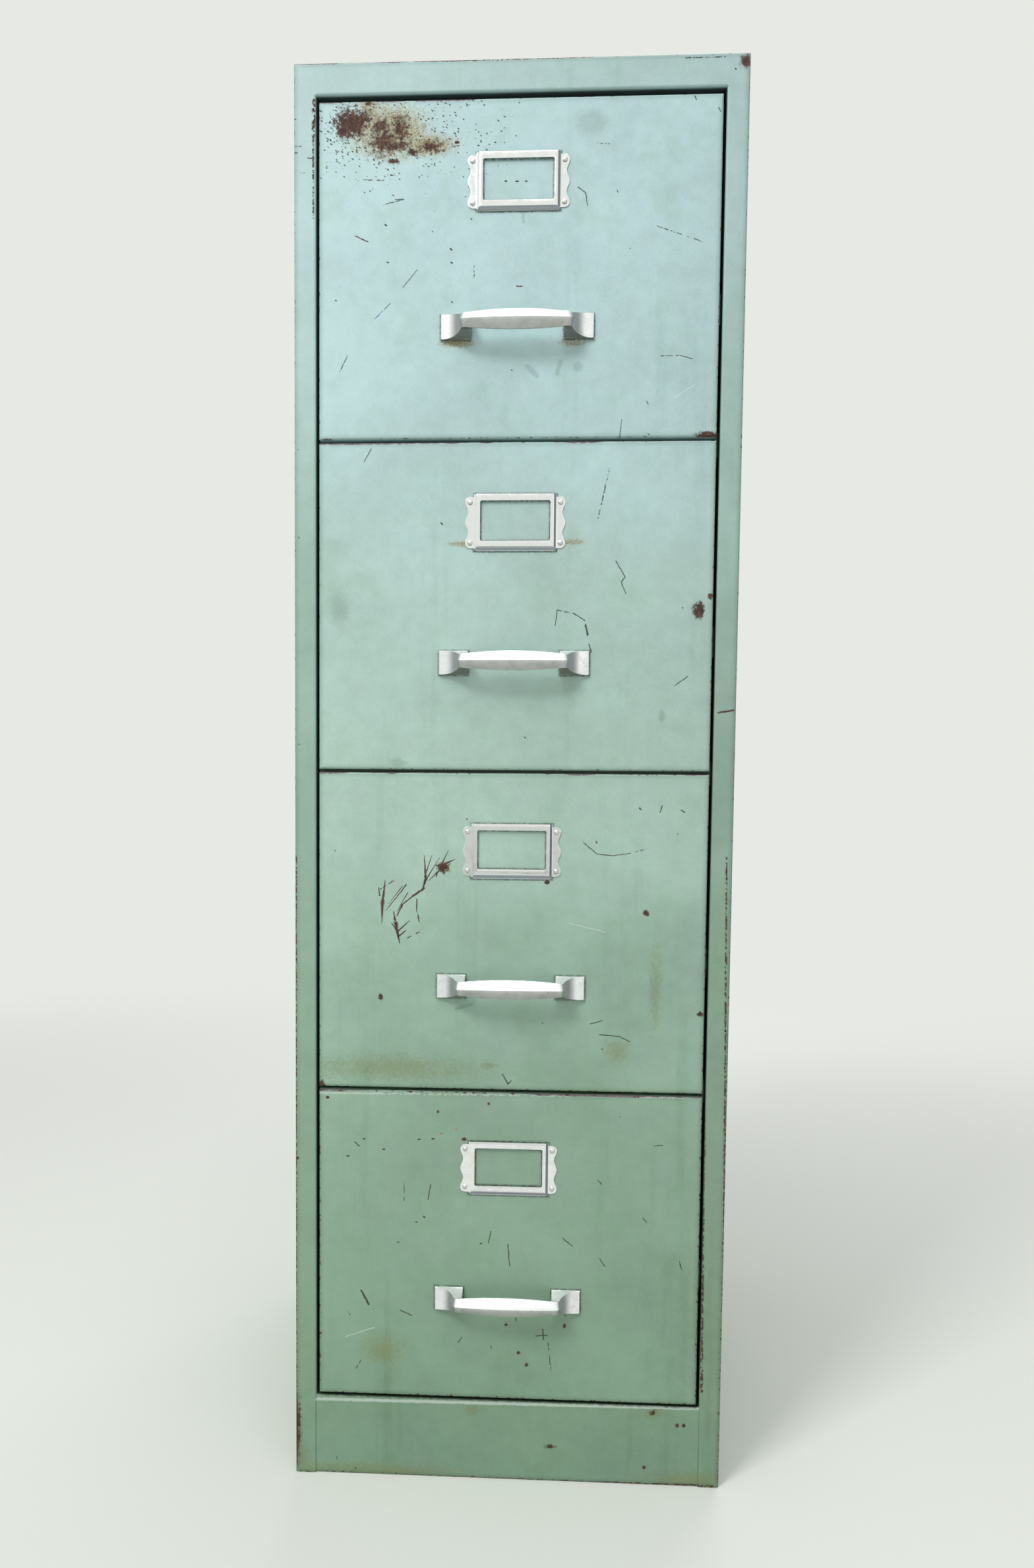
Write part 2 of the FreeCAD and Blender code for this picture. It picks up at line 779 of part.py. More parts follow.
def make_foot_section(body, index, depth, drawn_in):
    """The right foot cut parallel to the drawer front, drawn in from its base towards the neck."""
    outer = between("pull_half", "neck_place", drawn_in)
    half = between("foot_height / 2", "neck_height / 2", drawn_in)
    outline = rectangle("foot_inner", f"-({half})", outer, half)
    return make_sketch(
        body, f"FootSection{index}", "XZ_Plane", [outline], offset=depth
    )


def make_loft(name, sections):
    """A solid whose flat faces run from each section to the next."""
    loft = doc.addObject("Part::Loft", name)
    loft.Sections = sections
    loft.Solid = True
    loft.Ruled = True
    loft.Linearize = True
    return loft


def make_feet(number):
    """The two feet of a pull: a flat edge at the base, then a hollow flare up to the neck."""
    body = make_body(f"FootSections{number}")
    stations = [("0", 0)]
    stations += [
        (between("foot_edge", "neck_reach", depth), drawn_in)
        for depth, drawn_in in zip(FOOT_DEPTH_SHARES, FOOT_DRAW_SHARES)
    ]
    sections = [
        make_foot_section(body, index, *station)
        for index, station in enumerate(stations)
    ]
    right = make_loft(f"RightFoot{number}", sections)
    left = doc.addObject("Part::Mirroring", f"LeftFoot{number}")
    left.Source = right
    left.Normal = FreeCAD.Vector(1, 0, 0)
    return [right, left]


def make_grip_section(body, index, side):
    """The grip's section at one station: two bevelled faces that meet in a ridge, and a back."""
    place_share = GRIP_PLACE_SHARES[index]
    swell = GRIP_SWELL_SHARES[index]
    ridge = between("-neck_reach", "-pull_reach", swell)
    size = between("neck_height / grip_height", "1", swell)
    half = f"({size}) * grip_height / 2"
    edge = f"{ridge} + ({size}) * grip_edge_setback"
    back = f"{ridge} + ({size}) * grip_thickness"
    shoulder = f"{ridge} + ({size}) * grip_edge_setback * {1 - GRIP_BULGE_SHARE}"
    raised = f"({half}) * {GRIP_BULGE_SHARE}"
    behind = f"({half}) * {GRIP_BACK_SHARE}"
    section = [
        (ridge, "0"),
        (shoulder, raised),
        (edge, half),
        (back, behind),
        (back, f"-({behind})"),
        (edge, f"-({half})"),
        (shoulder, f"-({raised})"),
    ]
    offset = f"{side * place_share} * neck_place"
    name = f"GripSection{index}{'Right' if side > 0 else 'Left'}"
    return make_sketch(body, name, "YZ_Plane", [section], offset=offset)


def make_pull(number):
    """A cast pull: two flared feet and the bowed grip between them, tapped from behind."""
    feet = make_feet(number)
    body = make_body(f"GripSections{number}")
    count = len(GRIP_PLACE_SHARES)
    stations = [(index, -1) for index in range(count - 1, 0, -1)]
    stations += [(index, 1) for index in range(count)]
    sections = [make_grip_section(body, *station) for station in stations]
    solid = doc.addObject("Part::MultiFuse", f"PullBlank{number}")
    solid.Shapes = feet + [make_loft(f"Grip{number}", sections)]
    holes = []
    for side in (1, -1):
        hole = make_disc(
            f"TappedHole{number}",
            clear_of("screw_radius + thread_clearance", PIN_SIDES),
            "screw_depth + thread_clearance",
            f"{side} * (foot_middle)",
            "0",
            "0",
        )
        holes.append(hole)
    drill = doc.addObject("Part::MultiFuse", f"TappedHoles{number}")
    drill.Shapes = holes
    pull = doc.addObject("Part::Cut", f"Pull{number}")
    pull.Base = solid
    pull.Tool = drill
    place(pull, z=f"{drawer_base(number)} + pull_level")
    keep(pull, f"drawer_{number}_handle")


def make_disc(name, radius, length, x, y, z):
    """A disc that starts at y and runs towards -Y."""
    disc = doc.addObject("Part::Prism", name)
    disc.Polygon = PIN_SIDES
    disc.setExpression("Circumradius", formula(radius))
    disc.setExpression("Height", formula(length))
    disc.Placement.Rotation = FreeCAD.Rotation(FreeCAD.Vector(1, 0, 0), 90)
    place(disc, x, y, z)
    return disc


def make_pin(name, steps, x, y, z):
    """A pin of stacked discs that starts at y and runs towards -Y."""
    discs = []
    start = y
    for radius, length in steps:
        discs.append(make_disc(f"{name}Step", radius, length, x, start, z))
        start = f"({start}) - ({length})"
    pin = doc.addObject("Part::MultiFuse", name)
    pin.Shapes = discs
    return pin


def make_pull_screws(number):
    """The two screws of a pull, put in from behind the drawer front."""
    steps = [
        ("screw_head_radius", "screw_head_thickness"),
        ("screw_radius", "sheet_gauge + screw_depth"),
    ]
    start = "front_plane + sheet_gauge + screw_head_thickness"
    screws = [
        make_pin(f"Screw{number}", steps, x, start, f"{drawer_base(number)} + {z}")
        for x, z in screw_places()
    ]
    keep(make_group(f"Screws{number}", screws), f"drawer_{number}_handle_screws")


def ear_edge(side):
    """The scalloped edge of one ear, as a path from its lower corner to its upper corner."""
    tip = "rivet_place + ear_radius"
    shoulder = "rivet_place + ear_radius * sqrt(0.5)"
    shoulder_rise = "rivet_spread - ear_radius * sqrt(0.5)"
    waist = f"{tip} - ear_waist"
    waist_rise = between("ear_middle", shoulder_rise, SHOULDER_SHARE)
    crest = between(tip, waist, SHOULDER_SHARE)
    low, high = (
        [
            (f"{side} * (rivet_place)", f"{rise} * (ear_half)"),
            (f"{side} * ({tip})", f"{rise} * rivet_spread"),
            (f"{side} * ({shoulder})", f"{rise} * ({shoulder_rise})"),
            (f"{side} * ({waist})", f"{rise} * ({waist_rise})"),
            (f"{side} * ({crest})", f"{rise} * ear_middle"),
        ]
        for rise in (-1, 1)
    )
    return [
        low[0],
        (low[1], low[2]),
        (low[3], low[4]),
        ((f"{side} * ({tip})", "0"), high[4]),
        (high[3], high[2]),
        (high[1], high[0]),
    ]


def reverse_path(path):
    """The same path of arcs walked from its end to its start."""
    ends = [path[0]] + [end for _, end in path[1:]]
    back = [ends[-1]]
    for index in range(len(path) - 1, 0, -1):
        back.append((path[index][0], ends[index - 1]))
    return back


def make_holder(number):
    """A pressed card holder: scalloped ears, and a raised frame that is open at the top."""
    body = make_body(f"Holder{number}")
    right = ear_edge(1)
    left = reverse_path(ear_edge(-1))
    sketch = make_sketch(body, "Ears", "XZ_Plane", [right + left])
    make_pad(body, "EarSheet", sketch, "holder_gauge")
    frame = rectangle("-frame_half", "-holder_half", "frame_half", "holder_half")
    sketch = make_sketch(body, "FrameOutline", "XZ_Plane", [frame])
    raised = make_pad(body, "Raised", sketch, "holder_rise")
    steps = []
    for edge in ("frame_half", "-frame_half"):
        steps += find_edges(raised, x=edge, y="-holder_rise")
    steps += find_edges(raised, y="-holder_rise", z="-holder_half")
    bevel_edges(body, "Steps", steps, "step_width")
    slot = rectangle(
        "holder_rise - frame_half",
        "holder_rise - holder_half",
        "frame_half - holder_rise",
        "holder_half",
    )
    sketch = make_sketch(body, "CardSlotOutline", "XZ_Plane", [slot])
    make_pocket(body, "CardSlot", sketch, "holder_rise - holder_gauge", backwards=True)
    half_window = "window_length / 2"
    window = rectangle(
        f"-{half_window}", "window_foot", half_window, "window_foot + window_height"
    )
    sketch = make_sketch(body, "WindowOutline", "XZ_Plane", [window])
    opened = make_pocket(body, "Window", sketch, "holder_rise", backwards=True)
    corners = []
    for x in (half_window, f"-{half_window}"):
        for z in ("window_foot", "window_foot + window_height"):
            corners += find_edges(opened, x=x, z=z)
    bevel_edges(body, "WindowCorners", corners, "window_corner")
    rivet_hole = clear_of("rivet_radius + rivet_clearance", PIN_SIDES)
    holes = [polygon(x, z, rivet_hole, PIN_SIDES) for x, z in rivet_places("0")]
    sketch = make_sketch(body, "RivetHoleOutlines", "XZ_Plane", holes)
    make_pocket(body, "RivetHoles", sketch, "holder_gauge", backwards=True)
    place(body, z=f"{drawer_base(number)} + front_height - holder_level")
    keep(body, f"drawer_{number}_label_holder")


def make_rivets(number):
    """The four rivets of a card holder, each a shank and a head."""
    steps = [
        ("rivet_radius", "sheet_gauge + holder_gauge"),
        ("rivet_head_radius", "rivet_head_height"),
    ]
    start = "front_plane + sheet_gauge"
    rivets = [
        make_pin(f"Rivet{number}", steps, x, start, f"{drawer_base(number)} + {z}")
        for x, z in rivet_places("front_height - holder_level")
    ]
    keep(make_group(f"Rivets{number}", rivets), f"drawer_{number}_label_rivets")


def make_buffers():
    """Rubber buffers on the back panel, two behind each tray."""
    length = "tray_rear_gap - buffer_gap"
    rear = "front_plane + back_inner"
    buffers = []
    for number in range(1, DRAWER_COUNT + 1):
        level = f"{drawer_base(number)} + tray_rise + buffer_level"
        for side in (-1, 1):
            x = f"{side} * buffer_spread"
            buffers.append(
                make_disc(f"Buffer{number}", "buffer_radius", length, x, rear, level)
            )
    keep(make_group("Buffers", buffers), "rubber_buffers")


make_side("LeftSideSheet", "left_side", -1)
make_side("RightSideSheet", "right_side", 1)
make_top_panel()
make_back_panel()
make_plinth()
make_cabinet_floor()
posts = [
    make_post("FrontPosts", "stile_return + post_gap"),
    make_post("RearPosts", "back_inner - post_depth"),
]
keep(make_group("Posts", posts), "runner_posts")
make_cross_rails()
channels = [make_channel(number) for number in range(1, DRAWER_COUNT + 1)]
keep(make_group("Channels", channels), "casing_runners")
make_buffers()
for drawer in range(1, DRAWER_COUNT + 1):
    make_front(drawer)
    make_tray(drawer)
    make_pull(drawer)
    make_pull_screws(drawer)
    make_holder(drawer)
    make_rivets(drawer)
    make_runner(drawer)
    make_cradle(drawer)
    front_axle = "front_axle_place"
    rear_axle = "rear_axle_place"
    make_rollers(
        drawer, f"casing_rollers_{drawer}", -1, "channel_web", front_axle
    )
    make_rollers(
        drawer, f"cradle_rear_rollers_{drawer}", 1, "cradle_outer", rear_axle
    )
    make_rollers(
        drawer, f"cradle_front_rollers_{drawer}", -1, "cradle_inner", front_axle, "inner_drop"
    )
    make_rollers(
        drawer, f"drawer_rollers_{drawer}", 1, "runner_outer", rear_axle, "inner_drop"
    )

doc.recompute()
for item in doc.Objects:
    if "Invalid" in item.State or "Error" in item.State:
        raise RuntimeError(f"{item.Name} did not build: {item.State}")
for node in nodes:
    if node.Shape.isNull() or not node.Shape.isValid() or not node.Shape.Solids:
        raise RuntimeError(f"{node.Label} has no valid solid")

os.makedirs("parts", exist_ok=True)
for node in nodes:
    node.Shape.exportStep(f"parts/{node.Label}.step")
print(f"{len(nodes)} sub-parts written")
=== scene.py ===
"""Looks of a four-drawer steel filing cabinet: worn sage enamel, cast pulls, card holders."""

from __future__ import annotations

import json
import logging
import math
from collections.abc import Sequence
from dataclasses import dataclass, field
from enum import Enum

import bmesh
import bpy
from mathutils import Matrix, Vector

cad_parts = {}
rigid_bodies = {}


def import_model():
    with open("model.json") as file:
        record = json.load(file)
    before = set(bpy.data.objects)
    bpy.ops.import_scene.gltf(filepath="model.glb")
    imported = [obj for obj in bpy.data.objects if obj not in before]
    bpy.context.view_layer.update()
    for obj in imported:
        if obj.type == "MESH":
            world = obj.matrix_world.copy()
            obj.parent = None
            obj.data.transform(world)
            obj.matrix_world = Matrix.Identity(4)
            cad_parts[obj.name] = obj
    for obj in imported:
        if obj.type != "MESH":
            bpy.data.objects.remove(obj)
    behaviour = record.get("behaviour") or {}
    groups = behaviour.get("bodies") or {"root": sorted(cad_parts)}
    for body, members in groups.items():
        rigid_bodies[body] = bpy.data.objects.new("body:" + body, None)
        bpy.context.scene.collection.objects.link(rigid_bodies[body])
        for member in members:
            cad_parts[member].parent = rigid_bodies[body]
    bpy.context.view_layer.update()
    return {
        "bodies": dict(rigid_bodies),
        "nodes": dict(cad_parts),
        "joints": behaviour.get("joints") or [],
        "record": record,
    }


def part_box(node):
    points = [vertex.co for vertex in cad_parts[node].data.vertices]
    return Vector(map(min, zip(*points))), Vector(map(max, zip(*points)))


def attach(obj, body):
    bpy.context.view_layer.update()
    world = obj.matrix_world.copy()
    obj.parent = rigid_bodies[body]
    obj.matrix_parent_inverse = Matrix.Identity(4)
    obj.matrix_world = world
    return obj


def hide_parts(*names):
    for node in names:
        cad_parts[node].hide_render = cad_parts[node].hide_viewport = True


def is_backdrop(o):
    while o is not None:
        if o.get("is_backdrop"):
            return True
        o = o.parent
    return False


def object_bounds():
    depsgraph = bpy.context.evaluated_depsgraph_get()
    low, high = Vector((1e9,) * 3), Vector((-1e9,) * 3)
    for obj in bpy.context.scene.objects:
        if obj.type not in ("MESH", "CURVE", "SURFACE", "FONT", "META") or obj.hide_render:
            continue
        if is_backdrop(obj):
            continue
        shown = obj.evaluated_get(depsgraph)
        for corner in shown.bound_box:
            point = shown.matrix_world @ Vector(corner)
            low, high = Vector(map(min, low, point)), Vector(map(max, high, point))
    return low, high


log = logging.getLogger("filing_cabinet")

Point = tuple[float, float, float]
Place = tuple[float, float]
Colour = tuple[float, float, float]
Outline = tuple[Place, Place]
Block = tuple[Point, Point]
Ramp = tuple[tuple[float, Colour], ...]
Span = tuple[float, float, float, float]
Socket = bpy.types.NodeSocket
Value = Socket | float | Sequence[float]

DRAWERS = (1, 2, 3, 4)
SMOOTH_ANGLE = math.radians(34)
WELD_DISTANCE = 1e-6


def tint(red: int, green: int, blue: int) -> Colour:
    """A colour given as it looks on a screen, 0 to 255, as the linear colour that a shader takes.

    Args:
        red: Red, 0 to 255.
        green: Green, 0 to 255.
        blue: Blue, 0 to 255.

    Returns:
        The linear red, green and blue.
    """
    parts = [channel / 255 for channel in (red, green, blue)]
    return tuple(
        part / 12.92 if part <= 0.04045 else ((part + 0.055) / 1.055) ** 2.4
        for part in parts
    )


class Slot(Enum):
    """The record's material slots."""

    CABINET_PAINT = "cabinet_paint"
    INNER_PAINT = "inner_paint"
    PULL_METAL = "pull_metal"
    HOLDER_METAL = "holder_metal"
    RIVET_METAL = "rivet_metal"
    SCREW_STEEL = "screw_steel"
    RUNNER_STEEL = "runner_steel"
    ROLLER_STEEL = "roller_steel"
    BUFFER_RUBBER = "buffer_rubber"


class Side(Enum):
    """Left and right, as the sign of X."""

    LEFT = -1
    RIGHT = 1


class Graph:
    """A node tree under construction, with a short method for each kind of node that it needs."""

    def __init__(self, tree: bpy.types.NodeTree) -> None:
        """Start from a tree that may already hold nodes."""
        self.tree = tree

    def node(
        self, kind: str, inputs: dict[str | int, Value] | None = None, **settings: object
    ) -> bpy.types.Node:
        """Add a node and feed its inputs.

        Args:
            kind: The node's type name.
            inputs: Sockets or plain values by input name or number.
            **settings: Properties to set on it first.

        Returns:
            The new node.
        """
        made = self.tree.nodes.new(kind)
        for name, setting in settings.items():
            setattr(made, name, setting)
        for name, value in (inputs or {}).items():
            self.feed(made.inputs[name], value)
        return made

    def feed(self, socket: Socket, value: Value) -> None:
        """Link another socket to an input, or write a plain value into it.

        Args:
            socket: The input.
            value: A socket, a number or a sequence of numbers.
        """
        if isinstance(value, Socket):
            self.tree.links.new(value, socket)
        elif socket.type == "RGBA" and len(value) == 3:
            socket.default_value = (*value, 1)
        else:
            socket.default_value = value

    def calculate(self, operation: str, *values: Value) -> Socket:
        """One step of arithmetic on numbers."""
        inputs = dict(enumerate(values))
        return self.node("ShaderNodeMath", inputs, operation=operation).outputs[0]

    def steer(self, operation: str, *values: Value) -> Socket:
        """One step of arithmetic on vectors, which gives a number for LENGTH and DOT_PRODUCT."""
        made = self.node("ShaderNodeVectorMath", dict(enumerate(values)), operation=operation)
        return made.outputs["Value" if operation in ("LENGTH", "DOT_PRODUCT") else "Vector"]

    def scale(self, vector: Value, factor: Value) -> Socket:
        """A vector times a number."""
        inputs = {0: vector, "Scale": factor}
        return self.node("ShaderNodeVectorMath", inputs, operation="SCALE").outputs["Vector"]

    def fit(
        self, value: Value, start: Value, end: Value, low: Value = 0.0, high: Value = 1.0
    ) -> Socket:
        """Map a number smoothly from one range to another.

        Args:
            value: The number.
            start: Where it gives low.
            end: Where it gives high.
            low: The result at start.
            high: The result at end.

        Returns:
            The mapped number.
        """
        inputs = dict(enumerate((value, start, end, low, high)))
        return self.node("ShaderNodeMapRange", inputs, interpolation_type="SMOOTHSTEP").outputs[0]

    def blend(self, share: Value, first: Value, second: Value, mode: str = "MIX") -> Socket:
        """Mix two colours.

        Args:
            share: How much of the second colour, 0 to 1.
            first: The colour under it.
            second: The colour laid over it.
            mode: The blend mode.

        Returns:
            The mixed colour.
        """
        inputs = {0: share, 6: first, 7: second}
        return self.node("ShaderNodeMix", inputs, data_type="RGBA", blend_type=mode).outputs[2]

    def noise(
        self, place: Value, scale: Value, detail: float = 2, roughness: float = 0.5
    ) -> Socket:
        """Cloudy noise about one half.

        Args:
            place: Where it is read.
            scale: How many clouds there are in a metre.
            detail: How many finer octaves it has.
            roughness: How strong the finer ones are.

        Returns:
            The noise, 0 to 1.
        """
        inputs = {"Vector": place, "Scale": scale, "Detail": detail, "Roughness": roughness}
        return self.node("ShaderNodeTexNoise", inputs).outputs[0]

    def cells(self, place: Value, scale: Value) -> bpy.types.Node:
        """Random cells, with the distance to each one's middle and a random colour."""
        return self.node("ShaderNodeTexVoronoi", {"Vector": place, "Scale": scale})

    def join(self, across: Value, deep: Value, up: Value) -> Socket:
        """Three numbers as a vector."""
        return self.node("ShaderNodeCombineXYZ", {0: across, 1: deep, 2: up}).outputs[0]

    def split(self, vector: Value) -> list[Socket]:
        """The three parts of a vector."""
        return list(self.node("ShaderNodeSeparateXYZ", {0: vector}).outputs)

    def ramp(self, value: Value, stops: Ramp) -> Socket:
        """Colours that follow a number.

        Args:
            value: The number, 0 to 1.
            stops: Pairs of a place on the ramp and its colour.

        Returns:
            The colour.
        """
        made = self.node("ShaderNodeValToRGB", {0: value})
        band = made.color_ramp
        band.interpolation = "EASE"
        while len(band.elements) < len(stops):
            band.elements.new(1)
        for element, (place, colour) in zip(band.elements, stops):
            element.position = place
            element.color = (*colour, 1)
        return made.outputs[0]

    def use(self, effect: bpy.types.NodeTree, **inputs: Value) -> bpy.types.Node:
        """Place a node group.

        Args:
            effect: The group.
            **inputs: Its inputs, by name with underscores for spaces.

        Returns:
            The group's node.
        """
        named = {name.replace("_", " "): value for name, value in inputs.items()}
        return self.node("ShaderNodeGroup", named, node_tree=effect)

    def bump(
        self,
        height: Value,
        depth: float,
        strength: float = 1,
        under: Socket | None = None,
    ) -> Socket:
        """A normal from a height.

        Args:
            height: The height, 0 to 1.
            depth: What 1 stands for, in metres.
            strength: The share of the effect.
            under: The normal that it lies on.

        Returns:
            The normal.
        """
        sizes = {"Strength": strength, "Distance": depth}
        made = self.node("ShaderNodeBump", {**sizes, "Height": height})
        if under is not None:
            self.feed(made.inputs["Normal"], under)
        return made.outputs[0]


SOCKET_KINDS = {
    "number": "NodeSocketFloat",
    "vector": "NodeSocketVector",
    "colour": "NodeSocketColor",
}


def make_effect(
    name: str,
    vectors: Sequence[str],
    numbers: Sequence[str] = (),
    outputs: Sequence[str] = ("Marks",),
    colours: Sequence[str] = (),
) -> tuple[Graph, dict[str, Socket], bpy.types.Node]:
    """An empty shader node group with named sockets.

    Args:
        name: The group's name.
        vectors: Its inputs that take a place or a size.
        numbers: Its inputs that take a number.
        outputs: Its outputs that are numbers.
        colours: Its outputs that are colours.

    Returns:
        The graph to fill, its input values by name, and the node that takes its outputs.
    """
    tree = bpy.data.node_groups.new(name, "ShaderNodeTree")
    for way, kind, labels in (
        ("INPUT", "vector", vectors),
        ("INPUT", "number", numbers),
        ("OUTPUT", "number", outputs),
        ("OUTPUT", "colour", colours),
    ):
        for label in labels:
            tree.interface.new_socket(label, in_out=way, socket_type=SOCKET_KINDS[kind])
    graph = Graph(tree)
    entry = graph.node("NodeGroupInput")
    given = {label: entry.outputs[label] for label in (*vectors, *numbers)}
    return graph, given, graph.node("NodeGroupOutput")


def add_object(name: str, data: bpy.types.ID) -> bpy.types.Object:
    """Put a new object with its data in the scene.

    Args:
        name: The object's name.
        data: Its mesh, lamp or camera.

    Returns:
        The object.
    """
    made = bpy.data.objects.new(name, data)
    bpy.context.scene.collection.objects.link(made)
    return made


@dataclass(frozen=True)
class PhotoCamera:
    """The camera that took the photograph, fitted to the corners of the cabinet and its pulls."""

    place: Point = (0.05179, -1.52998, 0.64653)
    ahead: Point = (-0.05941, 0.99548, -0.07413)
    right: Point = (0.99814, 0.06025, 0.00913)
    focal_pixels: float = 2000
    frame: Place = (1568, 2378)
    centre_pixel: Place = (739.9, 1379)
    sensor: float = 36

    def build(self) -> None:
        """Make the camera and use it for the scene."""
        data = bpy.data.cameras.new("photo_camera")
        long_side = max(self.frame)
        data.sensor_width = self.sensor
        data.lens = self.focal_pixels / long_side * self.sensor
        data.shift_x = (self.frame[0] / 2 - self.centre_pixel[0]) / long_side
        data.shift_y = (self.centre_pixel[1] - self.frame[1] / 2) / long_side
        camera = add_object("photo_camera", data)
        back = -Vector(self.ahead).normalized()
        right = Vector(self.right)
        right = (right - back * right.dot(back)).normalized()
        turn = Matrix((right, back.cross(right), back)).transposed()
        camera.matrix_world = Matrix.Translation(self.place) @ turn.to_4x4()
        bpy.context.scene.camera = camera
        log.info("camera at %s", self.place)

    def on_front(self, pixel: Place, plane: float) -> Place:
        """Where the line of sight through a pixel meets the plane of the drawer fronts.

        Args:
            pixel: Column and row in the photograph.
            plane: The plane's Y.

        Returns:
            X and Z there, in metres.
        """
        ahead = Vector(self.ahead)
        right = Vector(self.right)
        down = ahead.cross(right)
        ray = (
            ahead * self.focal_pixels
            + right * (pixel[0] - self.centre_pixel[0])
            + down * (pixel[1] - self.centre_pixel[1])
        )
        reach = (plane - self.place[1]) / ray.y
        met = Vector(self.place) + ray * reach
        return met.x, met.z


class Effects:
    """Node groups that several finishes share. Each is built once."""

    def __init__(self) -> None:
        """Build every effect."""
        self.stroke = self._stroke()
        self.spot = self._spot()
        self.nicks = self._nicks()
        self.border = self._border()
        self.corner = self._corner()
        self.grime = self._grime()
        self.rust = self._rust()

    @staticmethod
    def _stroke() -> bpy.types.NodeTree:
        """A straight scratch from one place to another, laid over the marks before it.

        Returns:
            The node group.
        """
        graph, given, out = make_effect(
            "scratch_stroke", ("Place", "Start", "End"), ("Width", "Taper", "Gaps", "Marks")
        )
        run = graph.steer("SUBTRACT", given["End"], given["Start"])
        away = graph.steer("SUBTRACT", given["Place"], given["Start"])
        along = graph.calculate(
            "DIVIDE",
            graph.steer("DOT_PRODUCT", away, run),
            graph.steer("DOT_PRODUCT", run, run),
        )
        along = graph.calculate("MINIMUM", graph.calculate("MAXIMUM", along, 0.0), 1.0)
        offset = graph.steer("SUBTRACT", away, graph.scale(run, along))
        present = graph.calculate("MAXIMUM", given["Gaps"], 0.0)
        left = graph.calculate("SUBTRACT", 1.0, graph.calculate("MULTIPLY", along, given["Taper"]))
        present = graph.calculate("MULTIPLY", present, left)
        width = graph.calculate("MULTIPLY", given["Width"], present)
        distance = graph.steer("LENGTH", offset)
        inner = graph.calculate("MULTIPLY", width, 0.45)
        outer = graph.calculate("MULTIPLY_ADD", width, 1.35, 1e-6)
        mask = graph.fit(distance, outer, inner)
        graph.feed(out.inputs["Marks"], graph.calculate("MAXIMUM", given["Marks"], mask))
        return graph.tree

    @staticmethod
    def _spot() -> bpy.types.NodeTree:
        """An oval patch with a ragged edge, laid over the marks before it.

        Returns:
            The node group.
        """
        graph, given, out = make_effect(
            "ragged_spot", ("Place", "Middle", "Size"), ("Ragged", "Edge", "Marks")
        )
        away = graph.steer("SUBTRACT", given["Place"], given["Middle"])
        shares = graph.steer("DIVIDE", away, given["Size"])
        distance = graph.calculate("ADD", graph.steer("LENGTH", shares), given["Ragged"])
        start = graph.calculate("ADD", 1.0, given["Edge"])
        end = graph.calculate("SUBTRACT", 1.0, given["Edge"])
        mask = graph.fit(distance, start, end)
        graph.feed(out.inputs["Marks"], graph.calculate("MAXIMUM", given["Marks"], mask))
        return graph.tree

    @staticmethod
    def _nicks() -> bpy.types.NodeTree:
        """Small chips scattered in cells, some cells empty.

        Returns:
            The node group.
        """
        graph, given, out = make_effect(
            "scattered_nicks", ("Place",), ("Cells", "Size", "Share")
        )
        cells = graph.cells(given["Place"], given["Cells"])
        luck, shape, _ = graph.split(cells.outputs["Color"])
        size = graph.calculate("MULTIPLY", given["Size"], graph.calculate("ADD", shape, 0.4))
        half = graph.calculate("MULTIPLY", size, 0.5)
        dot = graph.fit(cells.outputs["Distance"], size, half)
        present = graph.calculate("LESS_THAN", luck, given["Share"])
        graph.feed(out.inputs["Marks"], graph.calculate("MULTIPLY", dot, present))
        return graph.tree

    @staticmethod
    def _border() -> bpy.types.NodeTree:
        """How far a place lies inside a rectangle that faces the front, by the nearest edge.

        Returns:
            The node group.
        """
        graph, given, out = make_effect(
            "inside_rectangle", ("Place", "Middle", "Half"), outputs=("Distance",)
        )
        offset = graph.steer("SUBTRACT", given["Place"], given["Middle"])
        room = graph.steer("SUBTRACT", given["Half"], graph.steer("ABSOLUTE", offset))
        across, _, up = graph.split(room)
        graph.feed(out.inputs["Distance"], graph.calculate("MINIMUM", across, up))
        return graph.tree

    @staticmethod
    def _corner() -> bpy.types.NodeTree:
        """How far a place on a block's surface lies from the block's nearest edge.

        Returns:
            The node group.
        """
        graph, given, out = make_effect(
            "distance_to_edge", ("Place", "Middle", "Half"), outputs=("Distance",)
        )
        away = graph.steer("ABSOLUTE", graph.steer("SUBTRACT", given["Place"], given["Middle"]))
        depth = graph.steer("ABSOLUTE", graph.steer("SUBTRACT", given["Half"], away))
        across, deep, up = graph.split(depth)
        low = graph.calculate("MINIMUM", across, deep)
        high = graph.calculate("MAXIMUM", across, deep)
        second = graph.calculate("MAXIMUM", low, graph.calculate("MINIMUM", high, up))
        graph.feed(out.inputs["Distance"], second)
        return graph.tree

    @staticmethod
    def _grime() -> bpy.types.NodeTree:
        """Soft clouds, runs that hang down and fine mottling, for a surface wiped for years.

        Returns:
            The node group.
        """
        layers = {
            "Clouds": (7.0, 3, 0.55),
            "Patches": (26.0, 6, 0.62),
            "Mottle": (70.0, 4, 0.65),
            "Fine": (620.0, 2, 0.6),
        }
        graph, given, out = make_effect("wiped_grime", ("Place",), outputs=(*layers, "Runs"))
        for label, (cells, detail, roughness) in layers.items():
            layer = graph.noise(given["Place"], cells, detail, roughness)
            graph.feed(out.inputs[label], layer)
        tall = graph.steer("MULTIPLY", given["Place"], (42.0, 42.0, 2.6))
        graph.feed(out.inputs["Runs"], graph.noise(tall, 1.0, 4, 0.62))
        return graph.tree

